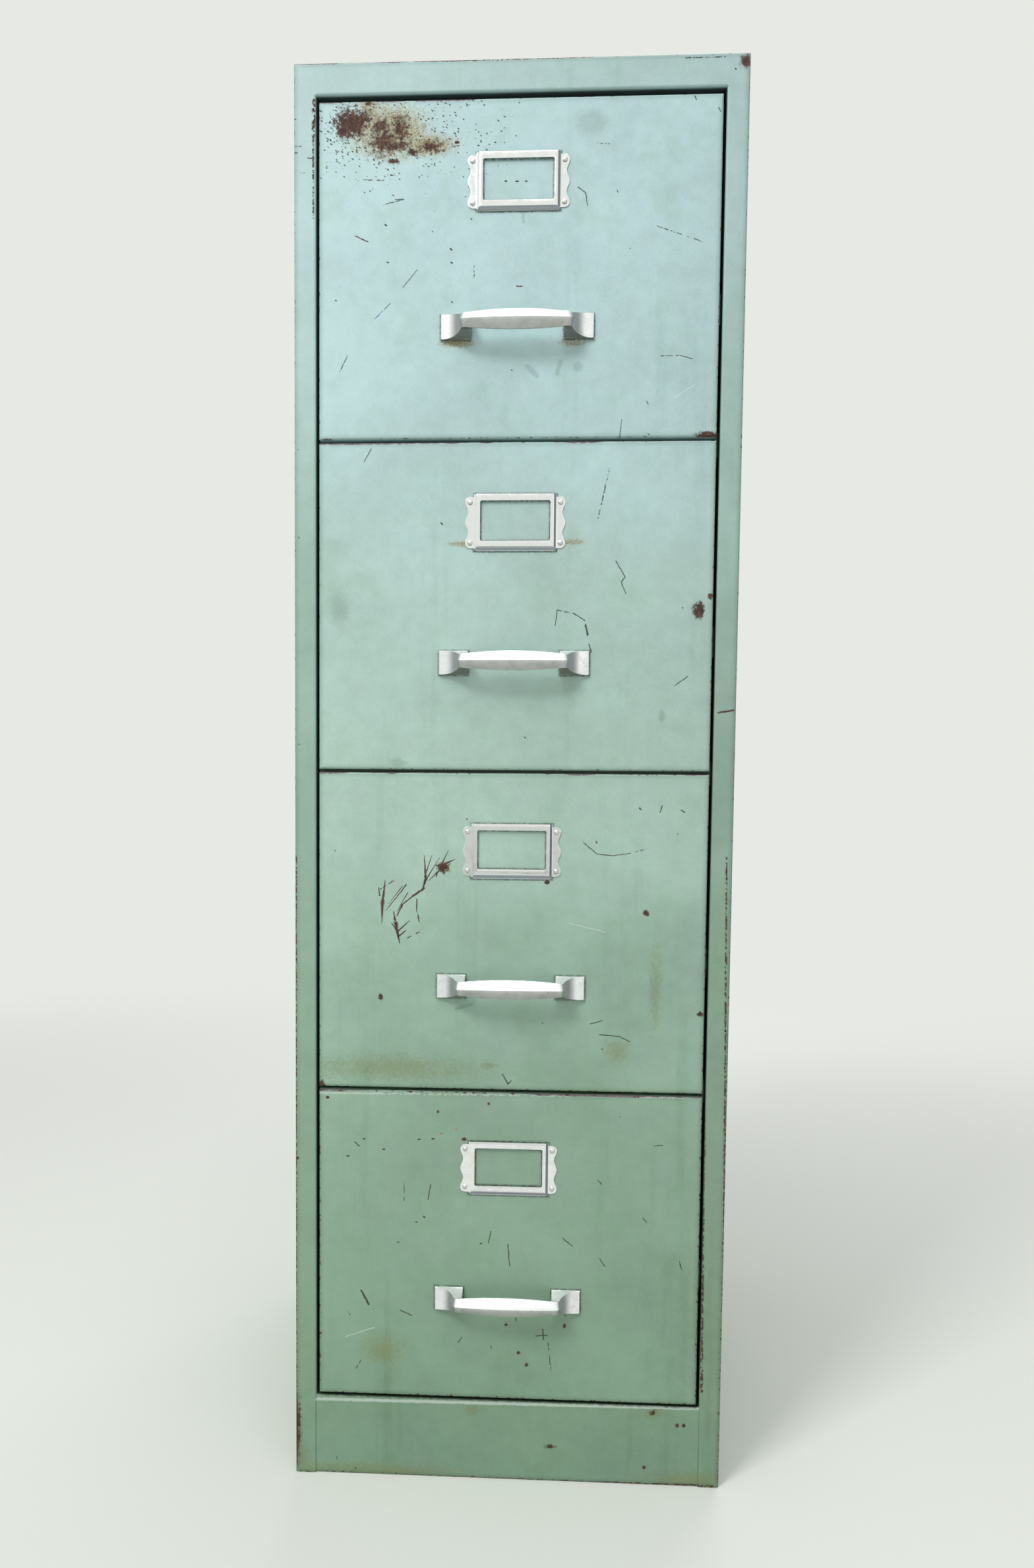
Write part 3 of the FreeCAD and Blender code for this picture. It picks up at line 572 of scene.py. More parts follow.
    @staticmethod
    def _rust() -> bpy.types.NodeTree:
        """The colour and the height of rust.

        Returns:
            The node group.
        """
        graph, given, out = make_effect(
            "rust_bloom", ("Place",), outputs=("Height",), colours=("Colour",)
        )
        grain = graph.noise(given["Place"], 900.0, 4, 0.7)
        cloud = graph.noise(given["Place"], 240.0, 3, 0.6)
        colour = graph.ramp(
            graph.calculate("MULTIPLY_ADD", grain, 0.55, graph.calculate("MULTIPLY", cloud, 0.45)),
            (
                (0.34, tint(34, 24, 23)),
                (0.46, tint(60, 40, 35)),
                (0.56, tint(92, 62, 47)),
                (0.70, tint(144, 110, 72)),
            ),
        )
        graph.feed(out.inputs["Colour"], colour)
        graph.feed(out.inputs["Height"], grain)
        return graph.tree


class Layer(Enum):
    """What a mark on the enamel shows."""

    STAIN = "stain"
    DIRT = "dirt"
    HALO = "halo"
    SPECKS = "specks"
    # Scuffs, and painted highlights along top edges.
    SCUFF_AND_HIGHLIGHT = "scuff"
    SCRATCH = "scratch"
    RUST = "rust"


@dataclass(frozen=True)
class Stroke:
    """A scratch between two pixels of the photograph, with its width in millimetres."""

    start: Place
    end: Place
    width: float = 0.5
    broken: bool = False
    taper: float = 0.0


@dataclass(frozen=True)
class Spot:
    """An oval mark round a pixel of the photograph, with its half sizes in pixels."""

    middle: Place
    size: Place
    ragged: float = 1.0
    edge: float = 0.3


Mark = Stroke | Spot


Wear = dict[Layer, tuple[Mark, ...]]


WORN_PLACES: dict[str, Wear] = {
    "drawer_1_front": {
        Layer.STAIN: (
            Spot((897, 186), (24, 18), 0.4, 0.5), Stroke((792, 321), (794, 336), 1.6),
            Stroke((800, 556), (814, 570), 2.4), Stroke((850, 548), (845, 566), 2.2),
            Spot((876, 556), (8, 7), 0.5, 0.6),
        ),
        Layer.HALO: (
            Spot((590, 200), (54, 38), 0.9, 0.45), Spot((650, 220), (36, 16), 0.9, 0.5),
            Spot((562, 162), (16, 12), 0.9, 0.5), Spot((694, 521), (24, 5), 1.0, 0.6),
            Spot((868, 519), (16, 5), 1.0, 0.6),
        ),
        Layer.SPECKS: (
            Spot((530, 196), (48, 48), 0.6, 0.4), Spot((540, 232), (60, 26), 0.7, 0.7),
            Spot((612, 200), (112, 60), 0.7, 0.95), Spot((532, 188), (16, 14), 0.6, 0.4),
        ),
        Layer.SCUFF_AND_HIGHLIGHT: (
            Stroke((1021, 604), (1055, 582), 0.35),
        ),
        Layer.SCRATCH: (
            Stroke((599, 303), (613, 302), 0.4), Stroke((766, 275), (768, 275), 0.8),
            Stroke((783, 275), (786, 275), 0.8), Stroke((797, 275), (799, 275), 0.8),
            Stroke((580, 311), (611, 303), 0.45, True), Stroke((584, 341), (586, 342), 0.7),
            Stroke((587, 398), (589, 398), 0.7), Stroke((683, 377), (685, 379), 0.7),
            Stroke((684, 398), (686, 399), 0.6), Stroke((633, 409), (611, 436), 0.3),
            Stroke((592, 460), (568, 484), 0.3, True), Stroke((527, 540), (515, 564), 0.4, True),
            Stroke((719, 403), (719, 423), 0.5, True), Stroke((877, 284), (888, 292), 0.4),
            Stroke((888, 292), (891, 312), 0.4), Stroke((936, 289), (937, 291), 0.6),
            Stroke((906, 217), (924, 218), 0.35, True), Stroke((1054, 145), (1056, 151), 0.4),
            Stroke((1090, 163), (1093, 169), 0.4), Stroke((997, 343), (1067, 367), 0.4, True),
            Stroke((1002, 540), (1031, 539), 0.4, True), Stroke((1031, 539), (1050, 544), 0.35),
            Stroke((943, 636), (939, 666), 0.35), Stroke((981, 608), (983, 613), 0.4),
        ),
        Layer.RUST: (
            Spot((532, 187), (25, 22), 1.3, 0.35), Spot((549, 180), (14, 12), 1.5, 0.5),
            Spot((520, 200), (10, 11), 1.5, 0.5), Spot((582, 214), (18, 19), 1.7, 0.7),
            Spot((607, 197), (12, 19), 1.8, 0.7), Spot((578, 192), (12, 11), 1.8, 0.7),
            Spot((600, 222), (20, 8), 1.8, 0.7), Spot((626, 231), (8, 6), 1.2, 0.4),
            Spot((653, 222), (18, 8), 1.8, 0.6), Spot((597, 244), (8, 4), 1.3, 0.5),
            Spot((559, 157), (5, 4), 0.8, 0.4), Spot((693, 216), (4, 2.5), 0.6, 0.3),
            Stroke((685, 222), (699, 221), 0.4, True), Stroke((592, 266), (605, 266), 0.5, True),
            Stroke((551, 273), (582, 273), 0.5, True), Stroke((539, 358), (558, 367), 0.5),
            Stroke((783, 434), (792, 434), 0.5), Spot((1074, 660), (19, 6)),
            Spot((496, 671), (14, 5)),
        ),
    },
    "drawer_2_front": {
        Layer.STAIN: (
            Spot((1004, 1086), (5, 8), 0.7), Spot((602, 1156), (12, 7), 0.9),
            Spot((514, 921), (14, 22), 0.7, 0.7),
        ),
        Layer.HALO: (
            Spot((702, 825), (20, 4), 1.0, 0.6), Spot((866, 822), (16, 4), 1.0, 0.6),
        ),
        Layer.SCRATCH: (
            Stroke((563, 681), (552, 701), 0.4), Stroke((924, 711), (907, 786), 0.5, True),
            Stroke((934, 851), (948, 875), 0.45), Stroke((948, 875), (942, 883), 0.45),
            Stroke((942, 883), (949, 900), 0.45), Stroke((842, 948), (845, 925), 0.4),
            Stroke((845, 925), (871, 931), 0.4, True), Stroke((871, 931), (887, 941), 0.45),
            Stroke((888, 948), (891, 963), 0.8), Stroke((893, 977), (897, 989), 0.5),
            Stroke((897, 989), (890, 993), 0.4), Stroke((669, 793), (671, 795), 0.7),
            Stroke((1023, 1040), (1043, 1026), 0.4),
        ),
        Layer.RUST: (
            Spot((1060, 926), (9, 12)), Spot((1077, 904), (4, 5)),
        ),
    },
    "drawer_3_front": {
        Layer.STAIN: (
            Stroke((691, 1530), (716, 1523), 1.6),
        ),
        Layer.DIRT: (
            Spot((590, 1620), (100, 15), 1.6, 0.95), Spot((632, 1616), (26, 8), 1.6, 0.6),
            Spot((740, 1616), (12, 5), 1.6, 0.6), Spot((994, 1500), (8, 50), 1.6, 0.9),
            Spot((935, 1595), (14, 16), 1.6, 0.9),
        ),
        Layer.SCUFF_AND_HIGHLIGHT: (
            Stroke((863, 1400), (919, 1414), 0.35),
        ),
        Layer.SCRATCH: (
            Stroke((885, 1278), (905, 1295), 0.4), Stroke((905, 1295), (929, 1298), 0.4),
            Stroke((929, 1298), (956, 1294), 0.4), Stroke((963, 1292), (986, 1286), 0.4, True),
            Stroke((904, 1276), (905, 1278), 0.6), Stroke((895, 1553), (913, 1548), 0.45),
            Stroke((909, 1569), (939, 1572), 0.45), Stroke((939, 1572), (955, 1580), 0.45),
            Stroke((762, 1629), (770, 1644), 0.5), Stroke((770, 1644), (775, 1639), 0.5),
            Stroke((1001, 1232), (1004, 1222), 0.5), Stroke((1033, 1229), (1038, 1232), 0.7),
            Stroke((970, 1226), (972, 1228), 0.7),
        ),
        Layer.RUST: (
            Stroke((580, 1368), (579, 1401), 1.7, taper=0.9),
            Stroke((580, 1370), (584, 1335), 1.5, taper=0.8),
            Stroke((576, 1358), (574, 1345), 0.7, taper=0.6),
            Stroke((576, 1349), (604, 1331), 0.5, True),
            Stroke((616, 1342), (585, 1381), 0.6, taper=0.6),
            Stroke((610, 1344), (589, 1371), 0.4, taper=0.5),
            Stroke((618, 1354), (602, 1382), 0.5, taper=0.5),
            Stroke((646, 1334), (643, 1296), 1.2, taper=0.85),
            Stroke((644, 1330), (655, 1297), 0.7, taper=0.7),
            Stroke((645, 1336), (667, 1300), 0.6, taper=0.7),
            Stroke((645, 1334), (641, 1350), 1.2, taper=0.4), Stroke((643, 1347), (626, 1359), 0.9),
            Stroke((626, 1359), (610, 1372), 0.6), Stroke((610, 1372), (602, 1389), 1.0, taper=0.5),
            Spot((672, 1315), (9, 8), 1.3), Stroke((670, 1312), (690, 1303), 1.2, taper=0.8),
            Stroke((672, 1318), (683, 1309), 1.0, taper=0.7),
            Stroke((670, 1310), (680, 1290), 0.7, taper=0.7),
            Stroke((668, 1318), (650, 1336), 0.8, taper=0.7),
            Stroke((664, 1322), (661, 1330), 0.8, taper=0.6),
            Stroke((599, 1395), (597, 1382), 1.2, taper=0.7),
            Stroke((600, 1400), (606, 1431), 1.9, taper=0.8),
            Stroke((601, 1410), (594, 1400), 1.0, taper=0.6),
            Stroke((602, 1414), (621, 1396), 0.9, taper=0.7),
            Stroke((604, 1420), (616, 1411), 0.9, taper=0.6),
            Stroke((637, 1413), (617, 1423), 0.8, True, 0.5),
            Stroke((632, 1364), (632, 1382), 0.7, taper=0.4),
            Stroke((633, 1385), (637, 1403), 0.7, True), Spot((980, 1385), (5, 4)),
            Spot((577, 1512), (4, 5)), Spot((1062, 1538), (5, 4)), Spot((829, 1338), (4, 3)),
            Spot((488, 1644), (5, 6)), Spot((800, 1325), (3, 3), 0.5, 0.3),
        ),
    },
    "drawer_4_front": {
        Layer.DIRT: (
            Spot((580, 2047), (26, 18), 1.2, 0.95), Spot((578, 2052), (12, 10), 1.2, 0.5),
        ),
        Layer.HALO: (
            Spot((693, 1712), (2.5, 2), 0.4, 0.3), Spot((669, 1720), (2.5, 2), 0.4, 0.3),
        ),
        # The two long strokes are a painted highlight along the drawer's top edge; the short one is
        # a scuff.
        Layer.SCUFF_AND_HIGHLIGHT: (
            Stroke((574, 1658), (1060, 1665), 1.1, True), Stroke((524, 2027), (568, 2013), 0.4),
            Stroke((483, 1657), (574, 1658), 1.1),
        ),
        Layer.SCRATCH: (
            Stroke((655, 1727), (658, 1727), 0.8), Stroke((634, 1728), (637, 1728), 0.7),
            Stroke((551, 1727), (553, 1727), 0.7), Stroke((581, 1743), (583, 1743), 0.7),
            Stroke((526, 1753), (529, 1753), 0.7), Stroke((613, 1794), (613, 1823), 0.3, True),
            Stroke((642, 1845), (644, 1846), 0.7), Stroke((631, 1853), (633, 1853), 0.6),
            Stroke((728, 1886), (730, 1886), 0.7), Stroke((603, 1884), (605, 1884), 0.6),
            Stroke((538, 1732), (545, 1738), 0.5), Stroke((653, 1797), (649, 1819), 0.45),
            Stroke((744, 1867), (741, 1885), 0.4), Stroke((770, 1887), (773, 1920), 0.45),
            Stroke((853, 1878), (868, 1890), 0.45), Stroke((909, 1909), (917, 1921), 0.4),
            Stroke((907, 1790), (912, 1796), 0.45), Stroke((992, 1738), (1005, 1737), 0.4),
            Stroke((548, 1957), (559, 1978), 0.9), Stroke((607, 1987), (624, 1995), 0.5),
            Stroke((813, 2026), (830, 2025), 0.5), Stroke((831, 2037), (836, 2084), 0.45, True),
            Stroke((547, 2063), (540, 2075), 0.4, True), Stroke((823, 2016), (824, 2032), 0.5),
            Stroke((780, 1990), (783, 2003), 0.4), Stroke((660, 1985), (667, 1983), 0.5),
            Stroke((850, 1984), (858, 1996), 0.4, True), Stroke((700, 2028), (695, 2036), 0.4),
            Stroke((1030, 1913), (1034, 1926), 0.4), Stroke((975, 1848), (981, 1854), 0.4),
            Stroke((525, 1985), (531, 1994), 0.4, True),
        ),
        Layer.RUST: (
            Spot((497, 1664), (2.5, 2), 0.4, 0.3), Spot((741, 1674), (2, 2), 0.4, 0.3),
            Spot((664, 1686), (2, 2), 0.4, 0.3), Spot((482, 1889), (3, 7), 1.0, 0.4),
            Spot((704, 1728), (4, 3), 0.8, 0.4), Spot((786, 2052), (3, 2.5)),
            Spot((798, 2070), (2.5, 3)), Spot((767, 2009), (3, 2)), Spot((856, 2011), (2.5, 3.5)),
        ),
    },
    "casing": {
        Layer.DIRT: (
            Spot((992, 2143), (12, 8), 1.4, 0.6), Spot((716, 2139), (9, 7), 1.4, 0.6),
            Spot((1050, 2245), (60, 10), 1.4, 0.8), Spot((560, 2228), (110, 8), 1.6, 0.9),
            Spot((455, 2215), (12, 20), 1.4, 0.8),
        ),
        # A painted highlight along the plinth's top edge.
        Layer.SCUFF_AND_HIGHLIGHT: (
            Stroke((480, 2122), (1058, 2137), 1.5),
        ),
        Layer.SCRATCH: (
            Stroke((446, 222), (456, 222), 0.5, True), Stroke((444, 232), (451, 232), 0.5, True),
            Stroke((467, 240), (473, 240), 0.5), Stroke((455, 262), (462, 262), 0.4, True),
            Stroke((1040, 88), (1100, 86), 0.5, True),
        ),
        Layer.RUST: (
            Spot((990, 2144), (5, 3), 1.6, 0.6), Spot((1027, 2163), (3, 3), 0.6, 0.3),
            Spot((1037, 2163), (2.5, 3), 0.6, 0.3), Spot((834, 2195), (7, 3), 1.4, 0.5),
            Spot((977, 2226), (3, 2.5), 0.6, 0.3), Stroke((484, 2237), (1080, 2254), 1.1, True),
            Stroke((1067, 1720), (1064, 2110), 1.3, True),
            Stroke((1068, 1665), (1067, 1760), 1.6, True),
            Stroke((1102, 1300), (1095, 2240), 0.9, True),
            Stroke((476, 152), (475, 206), 1.5, True), Stroke((475, 206), (475, 330), 0.8, True),
            Stroke((700, 92), (900, 86), 0.6, True), Spot((449, 2165), (7, 48), 1.2, 0.5),
            Stroke((1089, 1081), (1113, 1077), 0.8), Spot((1131, 92), (8, 10), 1.0, 0.5),
            Spot((451, 1756), (3, 2.5), 0.5, 0.3), Stroke((449, 1300), (449, 2150), 0.9, True),
        ),
    },
}


# The casing's colour by height: partly fading and dirt, partly painted light that falls from above.
CASING_FADE_AND_LIGHT: Ramp = (
    (0.00, tint(124, 155, 131)),
    (0.09, tint(128, 158, 131)),
    (0.25, tint(133, 162, 140)),
    (0.50, tint(144, 173, 157)),
    (0.72, tint(160, 189, 180)),
    (0.90, tint(172, 200, 199)),
    (1.00, tint(168, 194, 193)),
)


@dataclass(frozen=True)
class Enamel:
    """Old sage enamel: paler and bluer at the top, darker and greener towards the floor, partly
    from fading and dirt and partly painted light from above, with painted shade towards the right.

    A span holds where a noise or a height starts and ends to tell, and what it gives there.
    """

    effects: Effects
    camera: PhotoCamera
    front_plane: float
    height: float
    # Colour by height: partly fading and dirt, partly painted light that falls from above.
    fade_and_light_ramp: Ramp = (
        (0.00, tint(121, 152, 128)),
        (0.09, tint(134, 165, 141)),
        (0.25, tint(142, 172, 151)),
        (0.36, tint(152, 182, 164)),
        (0.49, tint(171, 199, 186)),
        (0.62, tint(173, 200, 192)),
        (0.78, tint(179, 207, 208)),
        (0.90, tint(180, 208, 210)),
        (1.00, tint(176, 204, 206)),
    )
    # Painted shade: the enamel is darker towards the right, as if lit from the left.
    painted_light_lean: float = -0.34
    unevenness: tuple[tuple[str, float], ...] = (
        ("Clouds", 0.38),
        ("Patches", 0.36),
        ("Mottle", 0.24),
        ("Fine", 0.16),
    )
    bare_metal: Colour = tint(48, 48, 42)
    stain: Colour = tint(140, 156, 140)
    soft_marks: tuple[tuple[Layer, float, Colour, str], ...] = (
        (Layer.STAIN, 0.3, stain, "MULTIPLY"),
        (Layer.DIRT, 0.5, tint(124, 132, 80), "MIX"),
        (Layer.HALO, 0.85, tint(170, 158, 112), "MIX"),
        # Scuffs, and painted highlights along top edges.
        (Layer.SCUFF_AND_HIGHLIGHT, 0.6, tint(214, 226, 220), "MIX"),
    )
    # Grime for the runs, and the colour of the painted contact shade round what meets the panel.
    grime_and_shade: Colour = tint(92, 104, 84)
    moss: Colour = tint(150, 172, 128)
    bleach: Colour = tint(110, 116, 120)
    worn_edge: Colour = tint(104, 94, 98)
    # Painted shade, near black, in the gaps round the drawers.
    gap_shade: Colour = tint(34, 44, 40)
    gap_reach: float = 0.0
    gap_depth: float = 0.03
    gap_start: float = 0.0016
    gap_share: float = 0.9
    drift: float = 0.14
    pale_span: Span = (0.5, 0.26, 0.0, 0.2)
    damp_span: Span = (0.48, 0.74, 0.0, 0.22)
    runs_span: Span = (0.54, 0.8, 0.0, 0.3)
    halo_span: Span = (0.65, 1.1, 0.4, 1.0)
    seat_width: float = 0.0022
    seat_span: Span = (0.35, 0.6, 0.3, 0.9)
    edge_reach: float = 0.006
    edge_share: float = 0.35
    chip_span: Span = (0.46, 0.66, 0.0, 0.0011)
    chip_rise: Span = (0.7, 0.0, 1.0, 2.2)
    worn_span: Span = (0.44, 0.6, 0.0, 0.0019)
    worn_fray: Span = (0.3, 0.6, 0.5, 1.1)
    worn_stretch: Point = (14.0, 1.0, 1.0)
    speck_cells: Place = (540.0, 0.36)
    speck_share: float = 0.75
    nick_cells: Place = (80.0, 0.05)
    nick_rise: Span = (0.9, 0.1, 0.2, 0.34)
    slim_cells: Place = (76.0, 0.03)
    slim_rise: Span = (0.75, 0.05, 0.0, 0.4)
    mark_depth: float = 0.004
    fray_cells: float = 260.0
    wander_cells: float = 330.0
    wander: float = 0.0011
    bloom_cells: float = 720.0
    bloom_span: Span = (0.5, 0.6, 0.0, 0.7)
    bare_share: float = 0.95
    smooth_span: Span = (0.3, 0.7, 0.42, 0.58)
    rough_share: float = 0.85
    chip_relief: float = -0.8
    blister_relief: float = 1.4
    relief_share: float = 0.6
    grain_relief: float = 0.0001
    dent_relief: float = 0.0012

    def build(
        self, name: str, wear: Wear, block: Block, seats: Sequence[Outline] = ()
    ) -> bpy.types.Material:
        """One panel's enamel, with its own marks.

        Args:
            name: The material's name.
            wear: The marks that the photograph shows on it.
            block: The middle and half size of the block whose edges are chipped.
            seats: The same, seen from the front, for what meets the panel and gets a line of
                painted contact shade and dirt.

        Returns:
            The material.
        """
        graph, shader = start_material(name)
        skin = Skin(graph, self)
        masks = self._marks(skin, wear)
        colour = self._soft_marks(skin, masks, self._tone(skin))
        chips, worn, near = self._edges(skin, block)
        edge = graph.fit(near, self.edge_reach, 0.0, 0.0, self.edge_share)
        colour = graph.blend(edge, colour, self.stain, "MULTIPLY")
        colour = graph.blend(worn, colour, self.worn_edge)
        # Painted contact shade, with some dirt, round the card holder, its window and the pull's
        # feet.
        colour = graph.blend(self._contact_shade_and_dirt(skin, seats), colour, self.grime_and_shade, "MULTIPLY")
        # Painted shade in the gaps round the drawers.
        colour = graph.blend(self._gap_shade(skin, seats), colour, self.gap_shade)
        bare = graph.calculate("MAXIMUM", masks[Layer.SCRATCH], self._dots(skin, masks))
        shown = graph.calculate("MULTIPLY", bare, self.bare_share)
        colour = graph.blend(shown, colour, self.bare_metal)
        rust = graph.use(self.effects.rust, Place=skin.place)
        bloom = graph.fit(graph.noise(skin.place, self.bloom_cells, 3, 0.7), *self.bloom_span)
        bloom = graph.calculate("MULTIPLY", bloom, masks[Layer.HALO])
        rusty = graph.calculate("MAXIMUM", chips, bloom)
        rusty = graph.calculate("MAXIMUM", masks[Layer.RUST], rusty)
        colour = graph.blend(rusty, colour, rust.outputs["Colour"])
        graph.feed(shader.inputs["Base Color"], colour)
        rough = graph.fit(skin.grime["Mottle"], *self.smooth_span)
        open_metal = graph.calculate("MAXIMUM", rusty, bare)
        rough = graph.fit(open_metal, 0.0, 1.0, rough, self.rough_share)
        graph.feed(shader.inputs["Roughness"], rough)
        fine = skin.grime["Fine"]
        height = graph.calculate("MULTIPLY_ADD", open_metal, self.chip_relief, fine)
        blister = graph.calculate("MULTIPLY", masks[Layer.RUST], rust.outputs["Height"])
        height = graph.calculate("MULTIPLY_ADD", blister, self.blister_relief, height)
        dents = graph.bump(skin.grime["Clouds"], self.dent_relief)
        normal = graph.bump(height, self.grain_relief, self.relief_share, dents)
        graph.feed(shader.inputs["Normal"], normal)
        return bpy.data.materials[name]

    def _tone(self, skin: Skin) -> Socket:
        """The enamel's colour by height, partly fading and dirt and partly painted light from
        above, with painted shade towards the right, and its clouds, damp and runs.

        Args:
            skin: The panel's surface.

        Returns:
            The colour.
        """
        graph, grime = skin.graph, skin.grime
        level = graph.calculate("DIVIDE", skin.up, self.height)
        drift = graph.calculate("SUBTRACT", grime["Clouds"], 0.5)
        level = graph.calculate("MULTIPLY_ADD", drift, self.drift, level)
        # Colour by height, partly painted light from above.
        colour = graph.ramp(level, self.fade_and_light_ramp)
        # Painted shade towards the right, then the random unevenness.
        light = graph.calculate("MULTIPLY_ADD", skin.across, self.painted_light_lean, 1.0)
        for layer, strength in self.unevenness:
            swing = graph.calculate("SUBTRACT", grime[layer], 0.5)
            light = graph.calculate("MULTIPLY_ADD", swing, strength, light)
        colour = graph.blend(1.0, colour, graph.join(light, light, light), "MULTIPLY")
        pale = graph.fit(grime["Patches"], *self.pale_span)
        colour = graph.blend(pale, colour, self.bleach, "SCREEN")
        damp = graph.fit(grime["Patches"], *self.damp_span)
        colour = graph.blend(damp, colour, self.moss, "MULTIPLY")
        runs = graph.fit(grime["Runs"], *self.runs_span)
        return graph.blend(runs, colour, self.grime_and_shade, "SOFT_LIGHT")

    def _inside(self, skin: Skin, seat: Outline) -> Socket:
        """How far a place lies inside a rectangle that faces the front.

        Args:
            skin: The panel's surface.
            seat: The rectangle's middle and half size.

        Returns:
            The distance, below 0 outside.
        """
        (across, up), (half, rise) = seat
        inside = skin.graph.use(
            self.effects.border,
            Place=skin.flat,
            Middle=(across, 0.0, up),
            Half=(half, 1.0, rise),
        )
        return inside.outputs["Distance"]

    def _contact_shade_and_dirt(self, skin: Skin, seats: Sequence[Outline]) -> Value:
        """The thin line of painted contact shade, with some dirt, round what meets the panel.

        Args:
            skin: The panel's surface.
            seats: The middles and half sizes of what meets it.

        Returns:
            The mask.
        """
        graph = skin.graph
        dirt: Value = 0.0
        for seat in seats:
            away = graph.calculate("ABSOLUTE", self._inside(skin, seat))
            dirt = graph.calculate("MAXIMUM", dirt, graph.fit(away, self.seat_width, 0.0))
        dirt = graph.calculate("MULTIPLY", dirt, skin.on_front)
        return graph.calculate("MULTIPLY", dirt, graph.fit(skin.ragged, *self.seat_span))

    def _gap_shade(self, skin: Skin, seats: Sequence[Outline]) -> Value:
        """Painted shade, with some dirt, on the edges turned in round the drawers, so that the gaps
        look dark.

        Args:
            skin: The panel's surface.
            seats: The middles and half sizes of what meets the panel, the widest first.

        Returns:
            The mask.
        """
        if not self.gap_reach:
            return 0.0
        graph = skin.graph
        near = graph.calculate("GREATER_THAN", self._inside(skin, seats[0]), -self.gap_reach)
        start = self.front_plane + self.gap_start
        behind = graph.fit(skin.deep, start, start + self.mark_depth, 0.0, self.gap_share)
        end = self.front_plane + self.gap_depth
        shallow = graph.fit(skin.deep, end, end + self.gap_depth, 1.0, 0.0)
        return graph.calculate("MULTIPLY", near, graph.calculate("MULTIPLY", behind, shallow))

    def _soft_marks(self, skin: Skin, masks: dict[Layer, Value], colour: Socket) -> Socket:
        """Lay the stains, the dirt, the rust's halo, and the scuffs and painted highlights over the
        enamel.

        Args:
            skin: The panel's surface.
            masks: The layers' masks.
            colour: The enamel.

        Returns:
            The colour.
        """
        graph = skin.graph
        broken = graph.calculate("ADD", skin.ragged, skin.grime["Mottle"])
        for layer, share, paint, mode in self.soft_marks:
            mask = graph.calculate("MULTIPLY", masks[layer], share)
            if layer is Layer.HALO:
                mask = graph.calculate("MULTIPLY", mask, graph.fit(broken, *self.halo_span))
            colour = graph.blend(mask, colour, paint, mode)
        return colour

    def _dots(self, skin: Skin, masks: dict[Layer, Value]) -> Socket:
        """Pinholes in the enamel: crowded where the photograph shows them, and a few everywhere.

        Args:
            skin: The panel's surface.
            masks: The layers' masks.

        Returns:
            The mask.
        """
        graph = skin.graph
        across, deep, rise = graph.split(skin.frayed)
        unrolled = graph.calculate("ADD", across, deep)
        sheared = graph.calculate("MULTIPLY_ADD", across, 0.5, rise)
        wide = graph.join(graph.calculate("MULTIPLY", unrolled, 0.7), 0.0, sheared)
        slim = graph.join(unrolled, 0.0, graph.calculate("MULTIPLY", sheared, 0.2))
        crowd = graph.calculate("MULTIPLY", masks[Layer.SPECKS], self.speck_share)
        dots: Value = 0.0
        for place, (cells, size), share in (
            (wide, self.speck_cells, crowd),
            (wide, self.nick_cells, graph.fit(skin.up, *self.nick_rise)),
            (slim, self.slim_cells, graph.fit(skin.up, *self.slim_rise)),
        ):
            nicks = graph.use(
                self.effects.nicks, Place=place, Cells=cells, Size=size, Share=share
            )
            dots = graph.calculate("MAXIMUM", dots, nicks.outputs["Marks"])
        return dots

    def _marks(self, skin: Skin, wear: Wear) -> dict[Layer, Value]:
        """Lay each mark of the photograph on the panel.

        Args:
            skin: The panel's surface.
            wear: The marks.

        Returns:
            A mask for each layer.
        """
        masks: dict[Layer, Value] = dict.fromkeys(Layer, 0.0)
        for layer, marks in wear.items():
            for mark in marks:
                lay = self._stroke if isinstance(mark, Stroke) else self._spot
                masks[layer] = lay(skin, mark, masks[layer])
        return {
            layer: skin.graph.calculate("MULTIPLY", mask, skin.on_front)
            for layer, mask in masks.items()
        }

    def _stroke(self, skin: Skin, mark: Stroke, under: Value) -> Socket:
        """Lay a scratch over the marks before it.

        Args:
            skin: The panel's surface.
            mark: The scratch.
            under: The marks before it.

        Returns:
            The mask.
        """
        made = skin.graph.use(
            self.effects.stroke,
            Place=skin.flat,
            Start=self._on_panel(mark.start),
            End=self._on_panel(mark.end),
            Width=mark.width / 1000,
            Taper=mark.taper,
            Gaps=skin.gaps if mark.broken else skin.whole,
            Marks=under,
        )
        return made.outputs["Marks"]

    def _spot(self, skin: Skin, mark: Spot, under: Value) -> Socket:
        """Lay an oval mark over the marks before it.

        Args:
            skin: The panel's surface.
            mark: The mark.
            under: The marks before it.

        Returns:
            The mask.
        """
        (column, row), (wide, tall) = mark.middle, mark.size
        middle = self._on_panel(mark.middle)
        across = self._on_panel((column + wide, row))
        above = self._on_panel((column, row - tall))
        made = skin.graph.use(
            self.effects.spot,
            Place=skin.flat,
            Middle=middle,
            Size=(across[0] - middle[0], 1.0, above[2] - middle[2]),
            Ragged=skin.fray(mark.ragged),
            Edge=mark.edge,
            Marks=under,
        )
        return made.outputs["Marks"]

    def _on_panel(self, pixel: Place) -> Point:
        """A pixel of the photograph as a place on the front, with no depth."""
        across, up = self.camera.on_front(pixel, self.front_plane)
        return across, 0.0, up

